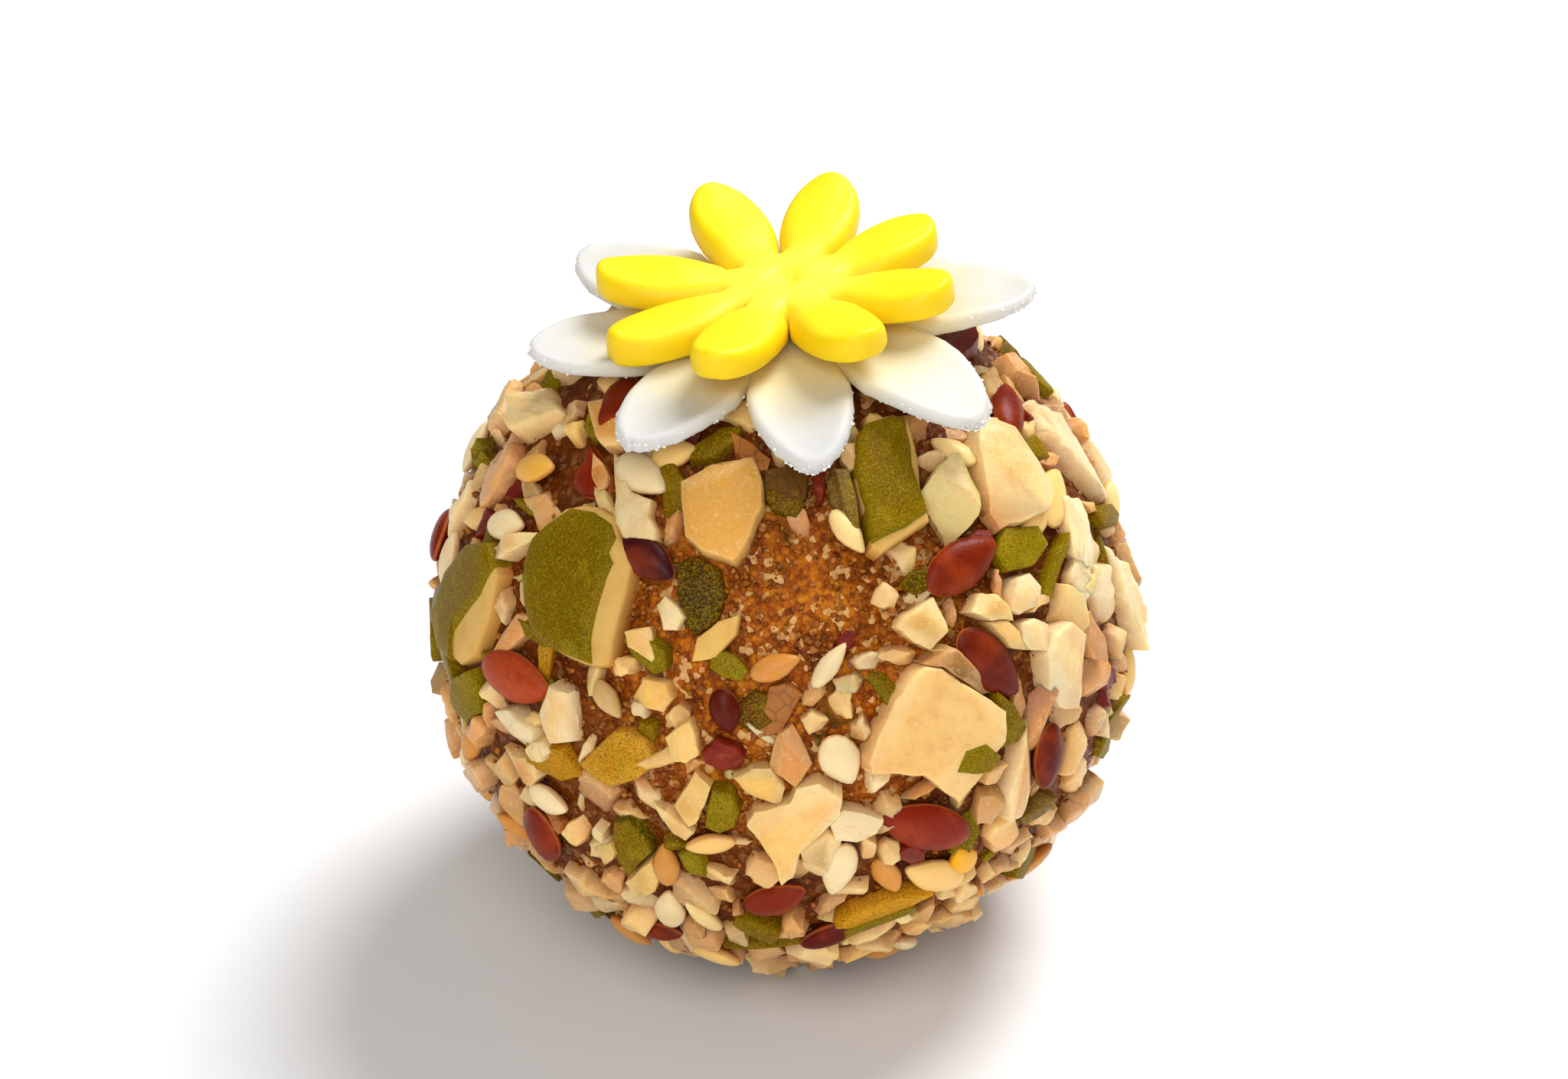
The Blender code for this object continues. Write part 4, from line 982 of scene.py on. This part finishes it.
def addSesame(*given):
    addSeed(sesameLook, *given)


def addGreen(heap, place, length, width, tone, rng, top=None):
    look = greenLook
    outline = shardOutline(length, width, rng.choice(look["sides"]), look["rough"], rng)
    top = top or rng.uniform(*look["top"])
    piece = slab(outline, top, look["steps"], look["ragged"], rng.randrange(1000), rng.uniform(*look["bend"]))
    markPiece(piece, tone, skin=0.0 if tone == "flesh" else 1.0, shade=rng.uniform(*look["shades"]))
    heap.add(piece, place)


def addSkin(heap, place, length, width, tone, rng):
    look = skinLook
    outline = shardOutline(length, width, look["sides"], look["rough"], rng)
    top = rng.uniform(*look["top"])
    piece = slab(outline, top, look["steps"], look["ragged"], rng.randrange(1000), look["bend"])
    markPiece(piece, tone, shade=rng.uniform(*look["shades"]))
    heap.add(piece, place)


def addDrawn(heaps, name, seed):
    kind, tone, rimTone, top, overX, overY, pixels = drawn[name]
    look = {
        "nut": [(0.05, 0.1), (0.08, 0.06), (0.4, 0.03), (0.5, 0.02)], "nutRagged": 0.18, "nutUneven": 0.05,
        "start": (0.0, 0.35), "slope": (12, 28), "apart": (110, 200),
        "flax": [(0.12, 0.25), (0.25, 0.2), (0.4, 0.1)], "ragged": 0.1,
        "other": [(0.06, 0.12), (0.1, 0.08)], "otherWide": [(0.4, 0.12), (0.6, 0.1)], "wideFrom": 2.6,
    }
    out, points = outlineFromPhoto(pixels)
    wide = max(math.hypot(x, y) for x, y in points)
    rng = random.Random(seed)
    if kind == "nut":
        piece = slab(points, top, look["nut"], look["nutRagged"], seed)
        facets = drawnFacets.get(name)
        if facets is None:
            first = rng.uniform(0, 360)
            facets = [(first, rng.uniform(*look["start"]), rng.uniform(*look["slope"])),
                      (first + rng.uniform(*look["apart"]), rng.uniform(*look["start"]),
                       rng.uniform(*look["slope"]))]
        cutFacets(piece, top, wide, facets)
        uneven(piece, look["nutUneven"], seed)
    else:
        steps = look["other"] + (look["otherWide"] if wide > look["wideFrom"] else [])
        piece = slab(points, top, look["flax"] if kind == "flax" else steps, look["ragged"], seed)
    markPiece(piece, tone, rimTone, skin=1.0 if kind == "green" else 0.0, fade=drawnFades.get(name))
    heaps["green" if kind == "flesh" else kind].add(piece, placeAlong(out, tilt=(overX, overY)))


def addLeftSeed(heap):  # its flesh, and over that its skin
    place, outline = bigPieces["leftSeed"]
    steps, ragged, seed = [(0.06, 0.12), (0.1, 0.08), (0.4, 0.1), (0.5, 0.06)], 0.08, 3
    for points, tone, rimTone, skin, top in (
        (outline, "flesh", "flesh", 0.0, 0.8),
        (leftSeedSkin, "olive", "green", 1.0, 1.1),
    ):
        piece = slab(points, top, steps, ragged, seed)
        markPiece(piece, tone, rimTone, skin)
        heap.add(piece, placeAlong(directionOf(*place)))


def fillGaps(heaps, taken, rng):
    # small pieces in what is still free, the largest first, away from the bare patches
    filler = {
        # radius in mm, and how close they may lie to others as a share of the two radii
        "sizes": [(1.8, 0.76), (1.35, 0.72), (1.05, 0.72), (0.8, 0.74), (0.6, 0.8), (0.42, 0.95)],
        "sites": 7500, "bottom": -70.0, "top": 66.0,
        "kinds": ["nut"] * 15 + ["sesame", "green", "green", "skin", "nut"],
        "bare": [(-22, 22, 3.0), (-12, 20, 3.4), (-28, 12, 1.6), (-36, 15, 1.5), (-58, 47, 1.8),
                 (-30, 33, 1.8), (1, 3, 1.6), (15, 8, 1.8), (18, 30, 2.2), (25, -12, 1.4)],
        "lengths": (2.3, 3.5), "around": 4.6, "widths": (0.5, 0.7, 0.85, 1.0), "sunk": -0.3, "lean": 26,
        "nutTop": (0.35, 1.15), "greenTop": 0.6, "sesame": (3.0, 1.7), "sesameFrom": 0.9,
    }
    taken = taken + [(directionOf(right, above), radius) for right, above, radius in filler["bare"]]
    directions = np.array([list(out) for out, reach in taken])
    reaches = np.array([reach for out, reach in taken])
    sites = [directionOf(*site)
             for site in evenPlaces(filler["sites"], filler["bottom"], filler["top"], rng.random)]
    rng.shuffle(sites)
    count, lean = 0, filler["lean"]
    for radius, closeness in filler["sizes"]:
        for out in sites:
            nearness = np.arccos(np.clip(directions @ np.array(out), -1, 1)) * ball["radius"]
            if (nearness < closeness * (radius + reaches)).any():
                continue
            directions = np.vstack([directions, list(out)])
            reaches = np.append(reaches, radius)
            kind = rng.choice(filler["kinds"])
            length = radius * rng.uniform(*filler["lengths"])
            width = min(filler["around"] * radius - length, length) * rng.choice(filler["widths"])
            tone = rng.choice(looseTones[kind])
            place = placeAlong(out, rng.uniform(-180, 180), rng.uniform(filler["sunk"], 0.0),
                               (rng.uniform(-lean, lean), rng.uniform(-lean, lean)))
            if kind == "nut":
                top = rng.uniform(*filler["nutTop"])
                addNut(heaps["nut"], place, length, width, tone, rng, top, small=True)
            elif kind == "sesame" and radius > filler["sesameFrom"]:
                addSesame(heaps["sesame"], place, *filler["sesame"], tone, rng)
            elif kind == "skin":
                addSkin(heaps["skin"], place, length, width, tone, rng)
            else:
                tone = rng.choice(looseTones["green"])
                addGreen(heaps["green"], place, length, width, tone, rng, filler["greenTop"])
            count += 1
    print("small pieces in the gaps", count)


def grain(size, wobble, rng):
    piece = bmesh.new()
    layersOf(piece)
    bmesh.ops.create_icosphere(piece, subdivisions=1, radius=size)
    for vert in piece.verts:
        vert.co *= rng.uniform(*wobble)
    return piece


def addCrumbs(heap, rng):
    # more of them where the core is bare
    crumbs = {
        "everywhere": 4600, "bare": 3400, "barePlace": (-2, 27), "bareReach": 13.0, "height": 0.93,
        "smallest": 0.06, "largest": 0.24, "bias": 4, "wobble": (0.7, 1.2), "lift": (-0.08, 0.12),
        "raised": 0.3, "shades": (0.7, 1.05),
        "tones": ["brown"] * 7 + ["moist"] * 6 + ["amber", "tan", "tan"],
    }
    centre = directionOf(*crumbs["barePlace"])
    east = Vector((0, 0, 1)).cross(centre).normalized()
    for count in range(crumbs["everywhere"] + crumbs["bare"]):
        if count < crumbs["everywhere"]:
            above = math.degrees(math.asin(rng.uniform(-crumbs["height"], crumbs["height"])))
            out = directionOf(rng.uniform(-180, 180), above)
        else:
            turn = rng.uniform(0, 2 * math.pi)
            reach = math.sqrt(rng.random()) * crumbs["bareReach"] / ball["radius"]
            out = centre + (east * math.cos(turn) + centre.cross(east) * math.sin(turn)) * math.tan(reach)
            out.normalize()
        size = crumbs["smallest"] + (crumbs["largest"] - crumbs["smallest"]) * rng.random() ** crumbs["bias"]
        piece = grain(size, crumbs["wobble"], rng)
        tone, shade = rng.choice(crumbs["tones"]), rng.uniform(*crumbs["shades"])
        markPiece(piece, tone, shade=shade, raised=crumbs["raised"])
        heap.add(piece, placeAlong(out, rng.uniform(0, 360), rng.uniform(*crumbs["lift"])))


def buildCoating():
    coating = {"seed": 21, "lean": 7, "hiddenBelow": 0.1}
    heaps = {kind: Heap(name) for kind, name in (
        ("nut", "nutPieces"), ("green", "pumpkinSeedPieces"), ("flax", "flaxSeeds"),
        ("sesame", "sesameSeeds"), ("skin", "nutSkins"), ("crumb", "looseCrumbs"), ("grain", "yellowGrain"))}
    makers = {"nut": addNut, "green": addGreen, "flax": addFlax, "sesame": addSesame, "skin": addSkin}
    rng = random.Random(coating["seed"])
    found, taken = loosePlaces()
    overX, overY = loose["lean"]
    for kind, right, above, turn, length, width in found:
        tilt = (rng.uniform(-overX, overX), rng.uniform(-overY, overY))
        out = directionOf(right, above)
        if kind in ("flax", "skin") and out.dot(cameraPlace) > coating["hiddenBelow"] * cameraPlace.length:
            kind = "nut"  # those that the photo shows have rows of their own
        tone = rng.choice(looseTones[kind])
        makers[kind](heaps[kind], placeAlong(out, turn, tilt=tilt), length, width, tone, rng)
    lean = coating["lean"]
    for kind, rows in placed.items():
        for right, above, turn, length, width, tone in rows + placedSmall.get(kind, []):
            tilt = (rng.uniform(-lean, lean), rng.uniform(-lean, lean))
            heap = heaps["grain"] if tone == "yellow" else heaps[kind]
            place = placeAlong(directionOf(right, above), turn, tilt=tilt)
            makers[kind](heap, place, length, width, tone, rng)
    for seed, name in enumerate(drawn):
        addDrawn(heaps, name, seed)
    addLeftSeed(heaps["green"])
    for rows in placedSmall.values():
        taken += placesOf(rows)
    fillGaps(heaps, taken, rng)
    addCrumbs(heaps["crumb"], rng)
    heaps["nut"].finish(makeNutFinish(), "nut", 56)
    heaps["green"].finish(makeGreenFinish(), "pumpkin_seed", 42)
    heaps["flax"].finish(makeFlaxFinish(), "flax_seed")
    heaps["sesame"].finish(makeSesameFinish(), "sesame_seed")
    heaps["skin"].finish(makeSkinFinish(), "seed_skin", 42)
    heaps["crumb"].finish(makeCrumbFinish(), "ladoo_core", 50)
    heaps["grain"].finish(makeSesameFinish(), "yellow_grain")


# the flowers, each built flat and then set on the pressed top
whiteFlower = {
    # each petal's angle, length, height of its tip and half width in mm
    "petals": [(7, 14.7, 0.1, 3.75), (51, 15.0, -3.4, 3.35), (96, 15.0, -3.4, 3.35), (141, 15.0, 0.65, 3.45),
               (189, 14.4, 0.65, 3.65), (236.5, 15.0, -0.25, 3.15), (276.6, 15.1, -1.1, 2.95),
               (317, 15.0, -1.75, 3.25)],
    "middle": (0.0, 0.0), "joined": 7.6, "thickness": 1.15, "thinning": 0.3, "cup": 0.9,
    "edgeRadius": 0.5, "footRadius": 0.25, "dish": 0.08, "dishFrom": 0.25, "rim": 1.3, "wave": 0.22,
    "ragged": 0.2,
}
yellowFlower = {
    "petals": [(-20, 10.0, 0.95, 2.2), (28, 9.7, 1.05, 2.2), (73, 10.4, 1.6, 2.2), (115, 10.5, 1.75, 2.2),
               (168, 11.0, 0.85, 2.2), (207, 11.1, -0.1, 2.2), (248, 10.9, 1.05, 2.2),
               (296, 10.4, 1.15, 2.2)],
    "middle": (0.45, 0.1), "joined": 3.8, "thickness": 1.9, "pillow": 0.2, "groove": 0.4,
    "edgeRadius": 0.75, "footRadius": 0.3, "dish": 0.16, "dishFrom": 0.3, "rim": 0.5, "dimple": 0.7,
    "dimpleRadius": 0.95, "wave": 0.16, "ragged": 0.05,
}
petalGrid = {"joinedRows": 10, "freeRows": 22, "across": 24}
petalKeys = ("across", "reach", "depth", "out", "petal")
petalEdge = {
    "gap": 0.97, "tipSlope": 1.2, "waveSize": 3.1, "coarse": 1.7, "fine": 5.3, "fineShare": 0.7,
    "jagDepth": 0.35, "under": 1.6, "over": 0.6, "toneDepth": 0.9,
}
flowerGap = 0.3


def rounded(depth, radius):  # how much is lost this near an edge of that radius
    inside = min(depth / radius, 1.0)
    return radius * (1.0 - math.sqrt(max(1.0 - (1.0 - inside) ** 2, 0.0)))


def whiteWidth(out):
    return (1.0 - out ** 3.2) ** 0.625 * (0.9 + 0.1 * min(out / 0.22, 1.0))


def yellowWidth(out):
    return (1.0 - out ** 6) ** 0.5 * (0.85 + 0.15 * min(out / 0.5, 1.0))


def petalSheet(bm, layers, look, widthAt, index):
    # a grid that narrows to the petal's tip, and near the middle shares its sector's edges with the others
    petals, joinedRows, freeRows = look["petals"], petalGrid["joinedRows"], petalGrid["freeRows"]
    angle, length, halfWidth = (petals[index][part] for part in (0, 1, 3))
    before = petals[index - 1][0] - (360 if index == 0 else 0)
    after = petals[(index + 1) % 8][0] + (360 if index == 7 else 0)
    rows = joinedRows + freeRows
    sheet = bmesh.ops.create_grid(bm, x_segments=rows, y_segments=petalGrid["across"], size=1.0)["verts"]
    for vert in sheet:
        row = round((vert.co.x + 1) / 2 * rows)
        across = math.sin(vert.co.y * math.pi / 2)
        side = math.radians((after - angle if across > 0 else angle - before) / 2)
        if row <= joinedRows:
            reach, out = look["joined"] * row / joinedRows, 0.0
            depth = (1.0 - abs(across)) * reach * side + (look["joined"] - reach)
        else:
            out = math.sin((row - joinedRows) / freeRows * math.pi / 2)
            reach = look["joined"] + (length - look["joined"]) * out
            side = min(side * petalEdge["gap"], math.asin(min(widthAt(out) * halfWidth / reach, 1.0)))
            depth = min((1.0 - abs(across)) * reach * side, (length - reach) * petalEdge["tipSlope"])
        turn = math.radians(angle) + across * side
        vert.co = (reach * math.cos(turn), reach * math.sin(turn), 0.0)
        for key, value in zip(petalKeys, (across, reach, depth, out, index)):
            vert[layers[key]] = value


def makeFlower(name, look, widthAt, baseOf, heightOf, finish, slot, node):
    bm = bmesh.new()
    layers = {key: bm.verts.layers.float.new(key) for key in (*petalKeys, "edge")}
    for index in range(8):
        petalSheet(bm, layers, look, widthAt, index)
    bmesh.ops.remove_doubles(bm, verts=bm.verts, dist=0.02)
    under = list(bm.verts)
    raised = bmesh.ops.extrude_face_region(bm, geom=bm.faces[:], use_keep_orig=True)["geom"]
    over = [item for item in raised if isinstance(item, bmesh.types.BMVert)]
    for verts, isTop in ((under, False), (over, True)):
        for vert in verts:
            across, reach, depth, out, petal = (vert[layers[key]] for key in petalKeys)
            base = baseOf(across, out, look["petals"][round(petal)][2])
            height = heightOf(across, reach, depth, out)
            x, y = (part / petalEdge["waveSize"] for part in vert.co.xy)
            wave = look["wave"] * noise.noise(Vector((x, y, petal * 0.37)))
            jag = noise.noise(vert.co * petalEdge["coarse"])
            jag += noise.noise(vert.co * petalEdge["fine"]) * petalEdge["fineShare"]
            jag *= look["ragged"] * max(1.0 - depth / petalEdge["jagDepth"], 0.0)
            outwards = Vector((vert.co.x, vert.co.y, 0)).normalized()
            vert.co += outwards * (jag * petalEdge["over" if isTop else "under"])
            if isTop:
                vert.co.z = base + height - rounded(depth, look["edgeRadius"]) + wave
            else:
                vert.co.z = base + rounded(depth, look["footRadius"])
            vert[layers["edge"]] = max(1.0 - depth / petalEdge["toneDepth"], 0.0) if isTop else 1.0
    bmesh.ops.translate(bm, vec=(*look["middle"], 0.0), verts=bm.verts)
    bmesh.ops.transform(bm, matrix=seatPlace, verts=bm.verts)
    bmesh.ops.recalc_face_normals(bm, faces=bm.faces)
    return finishPiece(name, bm, finish, slot, 60, node)


def addPasteCrumbs(petals, rng):
    # grains of sugar paste that cling to the white petals' cut edges
    grains = {"count": 800, "smallest": 0.05, "largest": 0.13, "bias": 2, "wobble": (0.7, 1.25),
              "atEdge": 0.9, "atTip": 0.8}
    heap = Heap("pasteCrumbs")
    edges = petals.data.attributes["edge"].data
    outs = petals.data.attributes["out"].data
    rim = [vert.co / mm for vert, edge, out in zip(petals.data.vertices, edges, outs)
           if edge.value > grains["atEdge"] and out.value > grains["atTip"] * rng.random()]
    for count in range(grains["count"]):
        size = grains["smallest"] + (grains["largest"] - grains["smallest"]) * rng.random() ** grains["bias"]
        heap.add(grain(size, grains["wobble"], rng), Matrix.Translation(rng.choice(rim)))
    finishPiece(heap.name, heap.bm, makePasteCrumbFinish(), "white_sugar_paste", 50)


def buildFlowers():
    white, yellow = whiteFlower, yellowFlower

    def whiteBase(across, out, tip):
        return flowerGap + tip * out ** 2 + white["cup"] * across ** 2 * out * (1.0 - out)

    def whiteHeight(across, reach, depth, out):
        thickness = white["thickness"] * (1.0 - white["thinning"] * reach / (2 * white["joined"]))
        dished = within((depth - white["dishFrom"]) / white["rim"])
        return thickness - white["dish"] * dished ** 2 * (3 - 2 * dished) * min(out * 3.0, 1.0)

    def yellowBase(across, out, tip):
        return flowerGap + white["thickness"] + flowerGap + tip * out

    def yellowHeight(across, reach, depth, out):
        inward = min(reach / yellow["joined"], 1.0)
        pillow = 1.0 - yellow["pillow"] * across ** 2 * inward ** 5
        groove = yellow["groove"] * abs(across) ** 4 * inward ** 9 * (1.0 if out == 0 else 0.0)
        hole = yellow["dimple"] * math.exp(-(reach / yellow["dimpleRadius"]) ** 4)
        dished = within((depth - yellow["dishFrom"]) / yellow["rim"]) * within((out - 0.3) * 3)
        return yellow["thickness"] * pillow - groove - hole - yellow["dish"] * dished

    petals = makeFlower("whiteFlower", white, whiteWidth, whiteBase, whiteHeight, makeWhiteFinish(),
                        "white_sugar_paste", "white_flower")
    addPasteCrumbs(petals, random.Random(5))
    makeFlower("yellowFlower", yellow, yellowWidth, yellowBase, yellowHeight, makeYellowFinish(),
               "yellow_sugar_paste", "yellow_flower")


def placeInScene(name, data):
    obj = bpy.data.objects.new(name, data)
    bpy.context.scene.collection.objects.link(obj)
    return obj


def buildStudio():
    studio = {
        "world": 0.21, "floor": 0.9, "floorRadius": 900.0,
        "lights": [  # name, place and size in mm, power
            ("keySoftbox", (195, 220, 455), 290, 3.35),
            ("frontFill", (-60, -340, 330), 340, 1.04),
            ("lowFill", (-80, -420, 110), 240, 0.28),
        ],
    }
    world = bpy.context.scene.world or bpy.data.worlds.new("studioWorld")
    bpy.context.scene.world = world
    world.use_nodes = True
    background = world.node_tree.nodes["Background"].inputs
    background["Color"].default_value = (1.0, 1.0, 1.0, 1.0)
    background["Strength"].default_value = studio["world"]
    bm = bmesh.new()
    bmesh.ops.create_circle(bm, cap_ends=True, segments=64, radius=studio["floorRadius"])
    bmesh.ops.scale(bm, vec=(mm, mm, mm), verts=bm.verts)
    mesh = bpy.data.meshes.new("paleFloor")
    bm.to_mesh(mesh)
    bm.free()
    colour = (studio["floor"],) * 3 + (1.0,)
    mesh.materials.append(Finish("paleFloorFinish", Roughness=0.7, Base_Color=colour).material)
    placeInScene("paleFloor", mesh)
    for name, place, size, power in studio["lights"]:
        light = bpy.data.lights.new(name, "AREA")
        light.shape = "DISK"
        light.size = size * mm
        light.energy = power
        lamp = placeInScene(name, light)
        lamp.location = Vector(place) * mm
        aim = Vector((0, 0, middle * mm)) - lamp.location
        lamp.rotation_euler = aim.to_track_quat("-Z", "Y").to_euler()
    camera = bpy.data.cameras.new("studioCamera")
    camera.lens = photo["lens"]
    camera.sensor_width = photo["sensor"]
    camera.clip_start = 0.01
    eye = placeInScene("studioCamera", camera)
    eye.location = (cameraPlace + Vector((0, 0, middle))) * mm
    eye.rotation_euler = (math.radians(90 - photo["elevation"]), 0, 0)
    bpy.context.scene.camera = eye
    bpy.context.scene.view_settings.view_transform = "Standard"
    print("studio ready")


buildCore()
buildCoating()
buildFlowers()
buildStudio()
